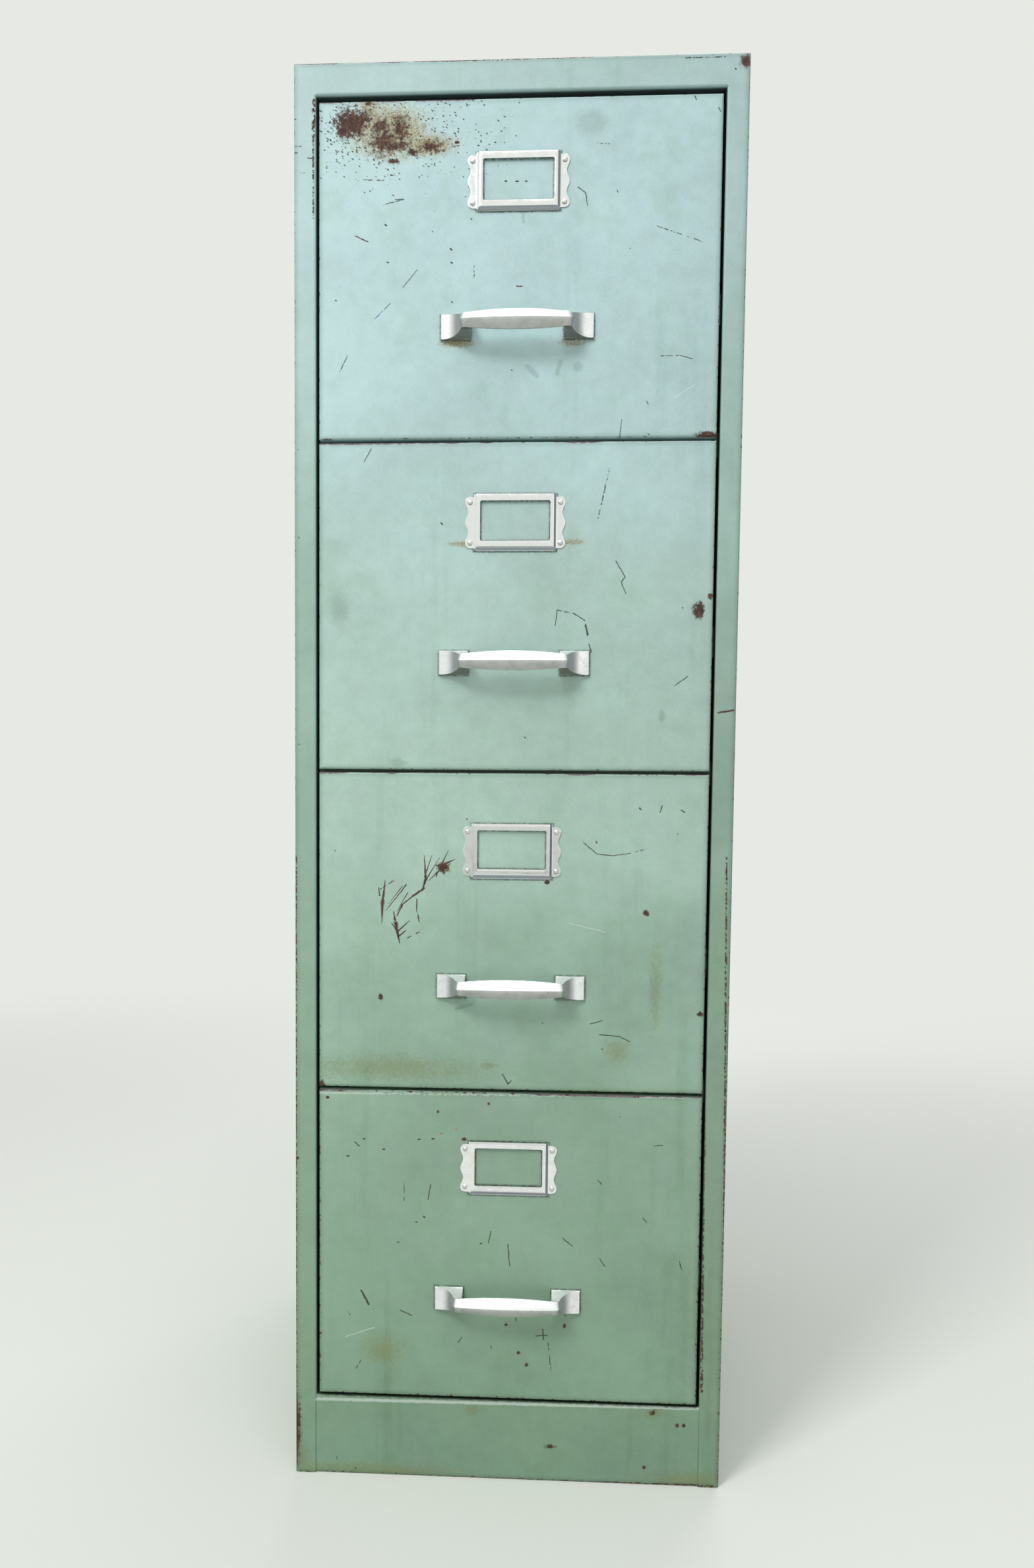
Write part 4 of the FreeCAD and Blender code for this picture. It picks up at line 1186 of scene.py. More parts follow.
    def _edges(self, skin: Skin, block: Block) -> tuple[Value, Value, Value]:
        """Chips along a block's edges and the bare line that hands wear under its front's top edge.

        Args:
            skin: The panel's surface.
            block: The block's middle and half size.

        Returns:
            The masks of chips and of the worn line, and the distance to the nearest edge.
        """
        graph = skin.graph
        middle, half = block
        corner = graph.use(self.effects.corner, Place=skin.frayed, Middle=middle, Half=half)
        nearest = corner.outputs["Distance"]
        below = graph.calculate("SUBTRACT", skin.up, middle[2] + half[2])
        below = graph.calculate("ABSOLUTE", below)
        reach = graph.fit(skin.ragged, *self.chip_span)
        reach = graph.calculate("MULTIPLY", reach, graph.fit(skin.up, *self.chip_rise))
        chips = graph.calculate("LESS_THAN", nearest, reach)
        along = graph.noise(graph.steer("MULTIPLY", skin.frayed, self.worn_stretch), 1.0, 3, 0.6)
        depth = graph.fit(along, *self.worn_span)
        depth = graph.calculate("MULTIPLY", depth, graph.fit(skin.ragged, *self.worn_fray))
        worn = graph.calculate("LESS_THAN", below, depth)
        return chips, graph.calculate("MULTIPLY", worn, skin.on_front), nearest


class Skin:
    """A panel's surface in its material: its places, its noises and where its face is."""

    facing_share: float = 0.1
    broken_span: Span = (0.42, 0.52, -0.6, 1.15)
    whole_span: Span = (0.25, 0.6, 0.7, 1.2)
    fray_swing: float = 2.4

    def __init__(self, graph: Graph, enamel: Enamel) -> None:
        """Lay the values that every layer of the enamel reads.

        Args:
            graph: The material's graph.
            enamel: The enamel, for its effects and sizes.
        """
        texture = graph.node("ShaderNodeTexCoord")
        self.graph = graph
        self.place = texture.outputs["Object"]
        self.across, self.deep, self.up = graph.split(self.place)
        self.grime = graph.use(enamel.effects.grime, Place=self.place).outputs
        self.ragged = graph.noise(self.place, enamel.fray_cells, 4, 0.7)
        inputs = {"Vector": self.place, "Scale": enamel.wander_cells}
        shift = graph.node("ShaderNodeTexNoise", inputs)
        wander = graph.steer("SUBTRACT", shift.outputs["Color"], (0.5, 0.5, 0.5))
        self.frayed = graph.steer("ADD", self.place, graph.scale(wander, enamel.wander))
        self.flat = graph.steer("MULTIPLY", self.frayed, (1.0, 0.0, 1.0))
        ahead = graph.split(texture.outputs["Normal"])[1]
        near = graph.calculate("LESS_THAN", self.deep, enamel.front_plane + enamel.mark_depth)
        facing = graph.calculate("LESS_THAN", ahead, -self.facing_share)
        self.on_front = graph.calculate("MULTIPLY", near, facing)
        self.gaps = graph.fit(self.ragged, *self.broken_span)
        self.whole = graph.fit(self.ragged, *self.whole_span)
        swing = self.fray_swing
        self._frays = {1.0: graph.calculate("MULTIPLY_ADD", self.ragged, swing, -swing / 2)}

    def fray(self, share: float) -> Socket:
        """How far a mark's edge is drawn in or out.

        Args:
            share: The mark's raggedness.

        Returns:
            The distance, as a share of the mark's size.
        """
        if share not in self._frays:
            self._frays[share] = self.graph.calculate("MULTIPLY", self._frays[1.0], share)
        return self._frays[share]


def start_material(name: str) -> tuple[Graph, bpy.types.Node]:
    """A new material with its shader.

    Args:
        name: The material's name.

    Returns:
        Its graph and its Principled node.
    """
    material = bpy.data.materials.new(name)
    material.use_nodes = True
    shader = material.node_tree.nodes["Principled BSDF"]
    return Graph(material.node_tree), shader


@dataclass(frozen=True)
class PlainEnamel:
    """The same enamel where nothing rubs it: inside the drawers and behind them."""

    effects: Effects
    tone: Colour = tint(152, 180, 165)
    shade: Colour = tint(120, 142, 128)

    def build(self, name: str) -> bpy.types.Material:
        """Make the material.

        Args:
            name: The material's name.

        Returns:
            The material.
        """
        graph, shader = start_material(name)
        place = graph.node("ShaderNodeTexCoord").outputs["Object"]
        grime = graph.use(self.effects.grime, Place=place)
        share = graph.fit(grime.outputs["Clouds"], 0.35, 0.7, 0.0, 0.4)
        colour = graph.blend(share, self.tone, self.shade)
        runs = graph.fit(grime.outputs["Runs"], 0.55, 0.85, 0.0, 0.3)
        colour = graph.blend(runs, colour, self.shade)
        nicks = graph.use(
            self.effects.nicks, Place=place, Cells=60.0, Size=0.05, Share=0.12
        )
        rust = graph.use(self.effects.rust, Place=place)
        colour = graph.blend(nicks.outputs["Marks"], colour, rust.outputs["Colour"])
        graph.feed(shader.inputs["Base Color"], colour)
        graph.feed(
            shader.inputs["Roughness"], graph.fit(grime.outputs["Mottle"], 0.3, 0.7, 0.42, 0.58)
        )
        graph.feed(shader.inputs["Normal"], graph.bump(grime.outputs["Fine"], 0.00006, 0.5))
        return bpy.data.materials[name]


@dataclass(frozen=True)
class BareMetal:
    """A metal without paint: its colour, how it is brushed, the specks of age on it, and painted
    shade on faces that turn down or to the side.
    """

    effects: Effects
    tone: Colour
    tarnish: Colour
    roughness: float = 0.34
    metallic: float = 1.0
    brush: Point = (30.0, 900.0, 900.0)
    specks: float = 0.3
    speck_cells: float = 420.0
    relief: float = 0.00004
    # under and flank: painted shade on faces that turn down or to the side, standing in for light
    # that falls from above and the left.
    under: Colour = tint(98, 102, 90)
    underside_shade_share: float = 0.0
    underside_shade_range: Place = (-0.15, -0.95)
    flank: Colour = tint(112, 116, 118)
    flank_shade_share: float = 0.0
    flank_shade_range: Place = (0.35, 0.8)
    shade_both_flanks: bool = False

    def build(self, name: str) -> bpy.types.Material:
        """Make the material.

        Args:
            name: The material's name.

        Returns:
            The material.
        """
        graph, shader = start_material(name)
        texture = graph.node("ShaderNodeTexCoord")
        place = texture.outputs["Object"]
        lines = graph.noise(graph.steer("MULTIPLY", place, self.brush), 1.0, 3, 0.6)
        clouds = graph.noise(place, 130.0, 4, 0.65)
        fine = graph.noise(place, 1500.0, 2, 0.6)
        specks = graph.use(
            self.effects.nicks,
            Place=place,
            Cells=self.speck_cells,
            Size=0.22,
            Share=graph.fit(clouds, 0.44, 0.66, 0.0, self.specks),
        )
        dull = graph.calculate("MULTIPLY_ADD", clouds, 0.6, graph.calculate("MULTIPLY", lines, 0.4))
        colour = graph.blend(graph.fit(dull, 0.42, 0.68, 0.0, 0.55), self.tone, self.tarnish)
        right, _, upward = graph.split(texture.outputs["Normal"])
        # Painted shade on down-facing faces, then on side-facing ones.
        underside_shade = graph.fit(upward, *self.underside_shade_range, 0.0, self.underside_shade_share)
        colour = graph.blend(underside_shade, colour, self.under)
        sideways = graph.calculate("ABSOLUTE", right) if self.shade_both_flanks else right
        beside = graph.fit(sideways, *self.flank_shade_range, 0.0, self.flank_shade_share)
        colour = graph.blend(beside, colour, self.flank)
        dark = graph.blend(0.62, self.tarnish, (0.01, 0.01, 0.01))
        colour = graph.blend(specks.outputs["Marks"], colour, dark)
        graph.feed(shader.inputs["Base Color"], colour)
        shader.inputs["Metallic"].default_value = self.metallic
        low = self.roughness - 0.06
        rough = graph.fit(dull, 0.35, 0.7, low, self.roughness + 0.14)
        rough = graph.calculate("MULTIPLY_ADD", specks.outputs["Marks"], 0.25, rough)
        graph.feed(shader.inputs["Roughness"], rough)
        height = graph.calculate("MULTIPLY_ADD", lines, 0.5, graph.calculate("MULTIPLY", fine, 0.5))
        height = graph.calculate("MULTIPLY_ADD", specks.outputs["Marks"], -0.7, height)
        graph.feed(shader.inputs["Normal"], graph.bump(height, self.relief, 0.5))
        return bpy.data.materials[name]


@dataclass(frozen=True)
class Rubber:
    """Dusty black rubber."""

    tone: Colour = tint(38, 38, 40)
    dust: Colour = tint(92, 90, 84)

    def build(self, name: str) -> bpy.types.Material:
        """Make the material.

        Args:
            name: The material's name.

        Returns:
            The material.
        """
        graph, shader = start_material(name)
        place = graph.node("ShaderNodeTexCoord").outputs["Object"]
        cloud = graph.noise(place, 210.0, 4, 0.7)
        graph.feed(
            shader.inputs["Base Color"],
            graph.blend(graph.fit(cloud, 0.45, 0.75, 0.0, 0.7), self.tone, self.dust),
        )
        graph.feed(shader.inputs["Roughness"], graph.fit(cloud, 0.3, 0.7, 0.6, 0.85))
        graph.feed(shader.inputs["Normal"], graph.bump(cloud, 0.0001, 0.4))
        return bpy.data.materials[name]


def surface_between(rings: Sequence[Sequence[Vector]], mesh: bmesh.types.BMesh) -> None:
    """Skin closed rings of points, one after another, and close both ends.

    Args:
        rings: The rings, each with as many points as the others.
        mesh: The mesh that takes the faces.
    """
    made = [[mesh.verts.new(point) for point in ring] for ring in rings]
    count = len(made[0])
    for ring, following in zip(made, made[1:]):
        for index in range(count):
            ahead = (index + 1) % count
            mesh.faces.new((ring[index], ring[ahead], following[ahead], following[index]))
    mesh.faces.new(made[0])
    mesh.faces.new(list(reversed(made[-1])))


def finish_mesh(
    name: str, mesh: bmesh.types.BMesh, material: bpy.types.Material, smooth: float = SMOOTH_ANGLE
) -> bpy.types.Object:
    """Turn a mesh under construction into a piece with outward normals and creased edges.

    Args:
        name: The piece's name.
        mesh: The mesh, which is freed.
        material: The piece's material.
        smooth: Edges sharper than this stay sharp.

    Returns:
        The piece.
    """
    bmesh.ops.remove_doubles(mesh, verts=mesh.verts, dist=WELD_DISTANCE)
    bmesh.ops.recalc_face_normals(mesh, faces=mesh.faces)
    data = bpy.data.meshes.new(name)
    mesh.to_mesh(data)
    mesh.free()
    data.polygons.foreach_set("use_smooth", [True] * len(data.polygons))
    data.set_sharp_from_angle(angle=smooth)
    data.materials.append(material)
    return add_object(name, data)


def shares(count: int) -> list[float]:
    """Evenly spaced shares from 0 to 1, both included."""
    return [index / (count - 1) for index in range(count)]


def install(piece: bpy.types.Object, body: str, slot: Slot, *nodes: str) -> None:
    """Make a piece ride on its body in place of the nodes that it stands for.

    Args:
        piece: The piece.
        body: The body that carries it.
        slot: Not used.
        *nodes: The nodes that it replaces.
    """
    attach(piece, body)
    if nodes:
        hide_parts(*nodes)
    log.info("%s: %d faces on %s", piece.name, len(piece.data.polygons), body)


@dataclass
class BowPull:
    """A cast pull in one piece: two feet with mitred, hollow flares and the bowed grip between."""

    number: int
    material: bpy.types.Material
    foot_length: float = 0.027
    foot_edge: float = 0.003
    edge_softness: float = 0.0004
    neck_inset: float = 0.018
    neck_reach: float = 0.0245
    neck_height: float = 0.0124
    grip_height: float = 0.018
    grip_thickness: float = 0.012
    grip_setback: float = 0.006
    knuckle: float = 0.0055
    inner_fillet: float = 0.004
    front_shares: Sequence[float] = tuple(2 * share - 1 for share in shares(15))
    flare_steps: int = 14
    knuckle_steps: int = 8
    grip_steps: int = 15
    ridge_sharpness: float = 1.15
    neck_blend: float = 0.35
    side_shares: Sequence[float] = (0.3, 0.6, 0.85)
    side_rounding: float = 0.5
    back_shares: Sequence[float] = (1.0, 0.5, 0.0, -0.5, -1.0)
    back_taper: float = 0.42
    crease: float = math.radians(38)
    body: str = field(init=False)

    def __post_init__(self) -> None:
        """Take the pull's place and overall size from its node."""
        self.body = f"drawer_{self.number}"
        low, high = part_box(f"drawer_{self.number}_handle")
        self.half = (high.x - low.x) / 2
        self.reach = high.y - low.y
        self.foot_half_height = (high.z - low.z) / 2
        self.origin = Vector(((low.x + high.x) / 2, high.y, (low.z + high.z) / 2))

    def _swell(self, across: float) -> float:
        """How full the grip is at a distance from its middle, 1 there and 0 at the necks."""
        return 1 - min(1.0, abs(across) / (self.half - self.neck_inset)) ** 2

    def _size(self, swell: float) -> float:
        """The grip's size there, as a share of its full size."""
        small = self.neck_height / self.grip_height
        return small + (1 - small) * swell

    def _ridge(self, across: float) -> float:
        """How far the grip's ridge stands out there."""
        return self.neck_reach + (self.reach - self.neck_reach) * self._swell(across)

    def _stations(self) -> list[tuple[Place, Place, float, float]]:
        """The left half's cross-sections from the base to the middle.

        Returns:
            For each section its outer and inner place seen from above, its half height, and
            how much of the grip's profile it has, from 0 on the foot to 1.
        """
        inner = self.half - self.foot_length
        post = self.half - self.neck_inset
        neck_half = self.neck_height / 2
        back = self._ridge(post) - self._size(0.0) * self.grip_thickness
        turn = self.neck_reach - self.knuckle
        found: list[tuple[Place, Place, float, float]] = []
        soft = self.edge_softness
        for depth, draw in ((0.0, 0.0), (self.foot_edge - soft, 0.0), (self.foot_edge, soft)):
            half = self.foot_half_height - draw
            found.append(((self.half - draw, depth), (inner, depth), half, 0.0))
        for share in shares(self.flare_steps)[1:]:
            angle = share * math.pi / 2
            depth = self.foot_edge + (turn - self.foot_edge) * (1 - math.cos(angle))
            outer = self.half - self.neck_inset * math.sin(angle)
            drop = (self.foot_half_height - neck_half) * (1 - math.cos(angle))
            inner_depth = depth * (back - self.inner_fillet) / turn
            blend = self.neck_blend * max(0.0, share * 2 - 1) ** 2
            half = self.foot_half_height - drop
            found.append(((outer, depth), (inner, inner_depth), half, blend))
        ridge = self._ridge(post - self.knuckle)
        for share in shares(self.knuckle_steps)[1:]:
            angle = share * math.pi / 2
            outer = post - self.knuckle * (1 - math.cos(angle))
            depth = turn + (ridge - turn) * math.sin(angle)
            inside = inner - self.inner_fillet * (1 - math.cos(angle))
            inner_depth = back - self.inner_fillet * (1 - math.sin(angle))
            blend = self.neck_blend + (1 - self.neck_blend) * share
            half = self._size(self._swell(outer)) * self.grip_height / 2
            found.append(((outer, depth), (inside, inner_depth), half, blend))
        start_outer, start_inner = post - self.knuckle, inner - self.inner_fillet
        for share in shares(self.grip_steps)[1:]:
            outer, inside = start_outer * (1 - share), start_inner * (1 - share)
            size = self._size(self._swell(outer))
            depth = self._ridge(outer)
            behind = depth - size * self.grip_thickness
            found.append(((outer, depth), (inside, behind), size * self.grip_height / 2, 1.0))
        return found

    def _ring(
        self, outer: Place, inner: Place, half: float, blend: float, side: float
    ) -> list[Vector]:
        """One cross-section, between a rectangle and the grip's ridged profile.

        Args:
            outer: Its outer place, seen from above.
            inner: Its inner place.
            half: Half its height.
            blend: How much of the grip's profile it has.
            side: The sign of X.

        Returns:
            Its points in order round the section.
        """
        setback = blend * self.grip_setback / self.grip_thickness
        outline = [
            (setback * abs(share) ** self.ridge_sharpness, share) for share in self.front_shares
        ]
        flank = []
        for share in self.side_shares:
            rounding = 1 - math.sqrt(1 - share**2)
            rise = 1 - blend * self.side_rounding * rounding
            flank.append((setback + share * (1 - setback), rise))
        outline += flank
        outline += [(1.0, share * (1 - self.back_taper * blend)) for share in self.back_shares]
        outline += [(inward, -rise) for inward, rise in reversed(flank)]
        points = []
        for inward, rise in outline:
            across = outer[0] + (inner[0] - outer[0]) * inward
            depth = outer[1] + (inner[1] - outer[1]) * inward
            points.append(self.origin + Vector((side * across, -depth, rise * half)))
        return points

    def build(self) -> None:
        """Model the pull and put it in its node's place."""
        left = self._stations()
        rings = [self._ring(*station, side=-1) for station in left]
        rings += [self._ring(*station, side=1) for station in reversed(left[:-1])]
        mesh = bmesh.new()
        surface_between(rings, mesh)
        piece = finish_mesh(f"bow_pull_{self.number}", mesh, self.material, self.crease)
        install(piece, self.body, Slot.PULL_METAL, f"drawer_{self.number}_handle")


@dataclass
class CardHolder:
    """A card holder pressed from one sheet: scalloped ears and a raised frame, open at the top."""

    number: int
    material: bpy.types.Material
    gauge: float = 0.0008
    frame_length: float = 0.076
    side_slope: float = 0.003
    lower_slope: float = 0.0044
    window_length: float = 0.0645
    window_height: float = 0.0363
    window_drop: float = 0.006
    window_round: float = 0.0016
    corner_round: float = 0.003
    ear_waist: float = 0.0028
    rivet_rise: float = 0.0186
    ear_radius: float = 0.0045
    lip_steps: int = 6
    ear_lines: Sequence[float] = (0.0, 0.35, 0.65, 0.85, 0.96, 1.0)
    ear_columns: Sequence[float] = (0.0, 0.3, 0.6, 0.85, 1.0)
    slope_lines: Sequence[float] = (0, 0.12, 0.25, 0.5, 0.75, 0.88, 1)
    slope_ease: float = 0.6
    cut_edge_share: float = 1 / 6
    cut_edge_angle: float = math.radians(50)
    crease: float = math.radians(42)
    body: str = field(init=False)

    def __post_init__(self) -> None:
        """Take the holder's place and overall size from its node."""
        self.body = f"drawer_{self.number}"
        low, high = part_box(f"drawer_{self.number}_label_holder")
        self.half_length = (high.x - low.x) / 2
        self.half_height = (high.z - low.z) / 2
        self.rise = high.y - low.y
        self.origin = Vector(((low.x + high.x) / 2, high.y, (low.z + high.z) / 2))
        self.frame_half = self.frame_length / 2
        self.window_half = self.window_length / 2
        self.window_top = self.half_height - self.window_drop
        self.window_foot = self.window_top - self.window_height

    def _ear_edge(self, rise: float) -> float | None:
        """How far an ear reaches at a height, or None above and below it.

        Args:
            rise: The height from the holder's middle.

        Returns:
            The reach.
        """
        level = abs(rise)
        if level > self.rivet_rise + self.ear_radius:
            return None
        if level > self.rivet_rise:
            middle = self.half_length - self.ear_radius
            return middle + math.sqrt(max(0.0, self.ear_radius**2 - (level - self.rivet_rise) ** 2))
        wave = math.cos(2 * math.pi * level / self.rivet_rise)
        return self.half_length - self.ear_waist * (1 - wave) / 2

    def _across(self) -> list[float]:
        """The frame's grid lines from its left edge to its right edge.

        Returns:
            Their distances from the middle.
        """
        left = [-self.frame_half + self.side_slope * share for share in self.slope_lines]
        window = [-self.window_half, -self.window_half + self.window_round]
        half = left + window + [-self.window_half / 2]
        return half + [0.0] + [-place for place in reversed(half)]

    def _up(self) -> list[float]:
        """The grid lines from the holder's lower edge to its upper edge.

        Returns:
            Their heights from the middle.
        """
        lines = [-self.half_height + self.lower_slope * share for share in self.slope_lines]
        lines += [self.rivet_rise * (2 * share - 1) for share in shares(13)]
        for share in self.ear_lines:
            level = self.rivet_rise + self.ear_radius * share
            lines += [level, -level]
        foot, top = self.window_foot, self.window_top
        lines += [foot, foot + self.window_round, top - self.window_round, top]
        lines.append(self.half_height)
        return sorted({round(level, 7) for level in lines})

    def _lift(self, across: float, rise: float) -> float:
        """How far the sheet's face stands out from the ears at a place on the frame.

        Args:
            across: How far the place lies from the middle.
            rise: Its height from the middle.

        Returns:
            The lift.
        """
        beside = (self.frame_half - abs(across)) / self.side_slope
        above = (rise + self.half_height) / self.lower_slope
        share = max(0.0, min(1.0, beside, above))
        turn = 2 * math.pi
        eased = share - self.slope_ease * math.sin(turn * share) / turn
        return self.gauge + (self.rise - self.gauge) * eased

    def _inside_window(self, first: float, second: float, low: float, high: float) -> bool:
        """Whether a cell of the grid lies in the window."""
        across, rise = (first + second) / 2, (low + high) / 2
        return abs(across) < self.window_half and self.window_foot < rise < self.window_top

    def _soften_corner(self, across: float, rise: float) -> Place:
        """Draw the frame's lower corners in, so that they turn in an arc.

        Args:
            across: How far a place lies from the middle.
            rise: Its height from the middle.

        Returns:
            The place after that.
        """
        depth_across = self.frame_half - abs(across)
        depth_up = rise + self.half_height
        if depth_across > self.corner_round or depth_up > self.corner_round:
            return across, rise
        first = 1 - depth_across / self.corner_round
        second = 1 - depth_up / self.corner_round
        moved = first * math.sqrt(1 - second**2 / 2), second * math.sqrt(1 - first**2 / 2)
        side = math.copysign(1, across)
        return (
            side * (self.frame_half - self.corner_round * (1 - moved[0])),
            -self.half_height + self.corner_round * (1 - moved[1]),
        )

    def build(self) -> None:
        """Press the holder and put it in its node's place."""
        mesh = bmesh.new()
        across, up = self._across(), self._up()
        grid = {}
        for column, place in enumerate(across):
            for row, rise in enumerate(up):
                lift = self._lift(place, rise)
                moved = self._soften_corner(place, rise)
                grid[column, row] = mesh.verts.new((moved[0], -lift, moved[1]))
        for column in range(len(across) - 1):
            for row in range(len(up) - 1):
                if self._inside_window(across[column], across[column + 1], up[row], up[row + 1]):
                    continue
                right, above = column + 1, row + 1
                corners = ((column, row), (right, row), (right, above), (column, above))
                mesh.faces.new([grid[corner] for corner in corners])
        self._round_window(mesh)
        for side in Side:
            self._add_ear(mesh, up, side)
        bmesh.ops.remove_doubles(mesh, verts=mesh.verts, dist=WELD_DISTANCE)
        bmesh.ops.recalc_face_normals(mesh, faces=mesh.faces)
        piece = self._thicken(mesh)
        install(piece, self.body, Slot.HOLDER_METAL, f"drawer_{self.number}_label_holder")

    def _round_window(self, mesh: bmesh.types.BMesh) -> None:
        """Fill the window's four corners up to an arc.

        Args:
            mesh: The holder's mesh.
        """
        for side in (-1, 1):
            for level, away in ((self.window_foot, 1), (self.window_top, -1)):
                corner = Vector((side * self.window_half, -self.rise, level))
                middle = corner + Vector((-side, 0, away)) * self.window_round
                points = [corner]
                for share in shares(self.lip_steps):
                    angle = share * math.pi / 2
                    toward = Vector((side * math.cos(angle), 0, -away * math.sin(angle)))
                    points.append(middle + toward * self.window_round)
                mesh.faces.new([mesh.verts.new(point) for point in points])

    def _add_ear(self, mesh: bmesh.types.BMesh, up: Sequence[float], side: Side) -> None:
        """Add one ear beside the frame's step, from the same grid lines.

        Args:
            mesh: The holder's mesh.
            up: The grid lines' heights.
            side: The ear's side.
        """
        rows = []
        for rise in up:
            edge = self._ear_edge(rise)
            if edge is None:
                continue
            start = self.frame_half
            row = [start + (edge - start) * share for share in self.ear_columns]
            rows.append([mesh.verts.new((side.value * place, -self.gauge, rise)) for place in row])
        for row, following in zip(rows, rows[1:]):
            for index in range(len(row) - 1):
                ends = slice(index, index + 2)
                mesh.faces.new((*row[ends], *reversed(following[ends])))

    def _thicken(self, mesh: bmesh.types.BMesh) -> bpy.types.Object:
        """Give the sheet its gauge and soft cut edges.

        Args:
            mesh: The holder's face, which is freed.

        Returns:
            The holder.
        """
        for vertex in mesh.verts:
            vertex.co += self.origin
        facing = sum(face.normal.y * face.calc_area() for face in mesh.faces)
        if facing > 0:
            bmesh.ops.reverse_faces(mesh, faces=mesh.faces)
        data = bpy.data.meshes.new(f"card_holder_{self.number}")
        mesh.to_mesh(data)
        mesh.free()
        data.materials.append(self.material)
        piece = add_object(data.name, data)
        shell = piece.modifiers.new("gauge", "SOLIDIFY")
        shell.thickness = self.gauge
        shell.offset = -1
        soft = piece.modifiers.new("cut_edges", "BEVEL")
        soft.width = self.gauge * self.cut_edge_share
        soft.segments = 2
        soft.limit_method = "ANGLE"
        soft.angle_limit = self.cut_edge_angle
        return bake_modifiers(piece, self.crease)


def bake_modifiers(piece: bpy.types.Object, smooth: float) -> bpy.types.Object:
    """Turn a piece's evaluated form into its plain mesh and remove its modifiers.

    Args:
        piece: The piece.
        smooth: Edges sharper than this stay sharp.

    Returns:
        The same piece.
    """
    bpy.context.view_layer.update()
    seen = piece.evaluated_get(bpy.context.evaluated_depsgraph_get())
    data = bpy.data.meshes.new_from_object(seen)
    piece.modifiers.clear()
    piece.data = data
    data.polygons.foreach_set("use_smooth", [True] * len(data.polygons))
    data.set_sharp_from_angle(angle=smooth)
    return piece


class Shape(Graph):
    """A geometry node tree under construction, whose inputs are named sizes."""

    def __init__(self, name: str, sizes: dict[str, float | Point]) -> None:
        """Start a tree.

        Args:
            name: The tree's name.
            sizes: Each input's name and value, a number or a vector.
        """
        super().__init__(bpy.data.node_groups.new(name, "GeometryNodeTree"))
        self.sizes = sizes
        for label, value in sizes.items():
            kind = "number" if isinstance(value, float) else "vector"
            self.tree.interface.new_socket(label, in_out="INPUT", socket_type=SOCKET_KINDS[kind])
        self.tree.interface.new_socket(
            "Metal", in_out="INPUT", socket_type="NodeSocketMaterial"
        )
        self.tree.interface.new_socket(
            "Geometry", in_out="OUTPUT", socket_type="NodeSocketGeometry"
        )
        entry = self.node("NodeGroupInput")
        self.given = {label: entry.outputs[label] for label in (*sizes, "Metal")}

    def ball(self, segments: int) -> Socket:
        """A ball of radius 1, with its poles along Z."""
        sizes = {"Segments": segments, "Rings": segments // 2, "Radius": 1.0}
        return self.node("GeometryNodeMeshUVSphere", sizes).outputs[0]

    def move(self, form: Socket, **steps: Value) -> Socket:
        """A form after its Translation, Rotation or Scale."""
        return self.node("GeometryNodeTransform", {"Geometry": form, **steps}).outputs[0]

    def set_on(self, places: Socket, form: Socket) -> bpy.types.Node:
        """The node that puts a form on each place."""
        return self.node("GeometryNodeInstanceOnPoints", {"Points": places, "Instance": form})

    def pair(self, form: Socket) -> Socket:
        """A form at the place called First, and once more as far from it as Apart says."""
        ends = {"Start Location": self.given["First"], "Offset": self.given["Apart"], "Count": 2}
        return self.set_on(self.node("GeometryNodeMeshLine", ends).outputs[0], form).outputs[0]

    def finish(self, geometry: Socket) -> None:
        """End the tree in real geometry of one metal.

        Args:
            geometry: The finished form.
        """
        real = self.node("GeometryNodeRealizeInstances", {0: geometry}).outputs[0]
        metal = self.node(
            "GeometryNodeSetMaterial", {"Geometry": real, "Material": self.given["Metal"]}
        ).outputs[0]
        out = self.node("NodeGroupOutput", {})
        self.tree.links.new(metal, out.inputs[0])

    def grow(
        self, name: str, metal: bpy.types.Material, smooth: float = SMOOTH_ANGLE
    ) -> bpy.types.Object:
        """Run the tree once and keep its result as a plain piece.

        Args:
            name: The piece's name.
            metal: Its material.
            smooth: Edges sharper than this stay sharp.

        Returns:
            The piece.
        """
        piece = add_object(name, bpy.data.meshes.new(name))
        modifier = piece.modifiers.new("shape", "NODES")
        modifier.node_group = self.tree
        keys = {
            item.name: item.identifier
            for item in self.tree.interface.items_tree
            if item.in_out == "INPUT"
        }
        for label, value in self.sizes.items():
            modifier[keys[label]] = value
        modifier[keys["Metal"]] = metal
        return bake_modifiers(piece, smooth)


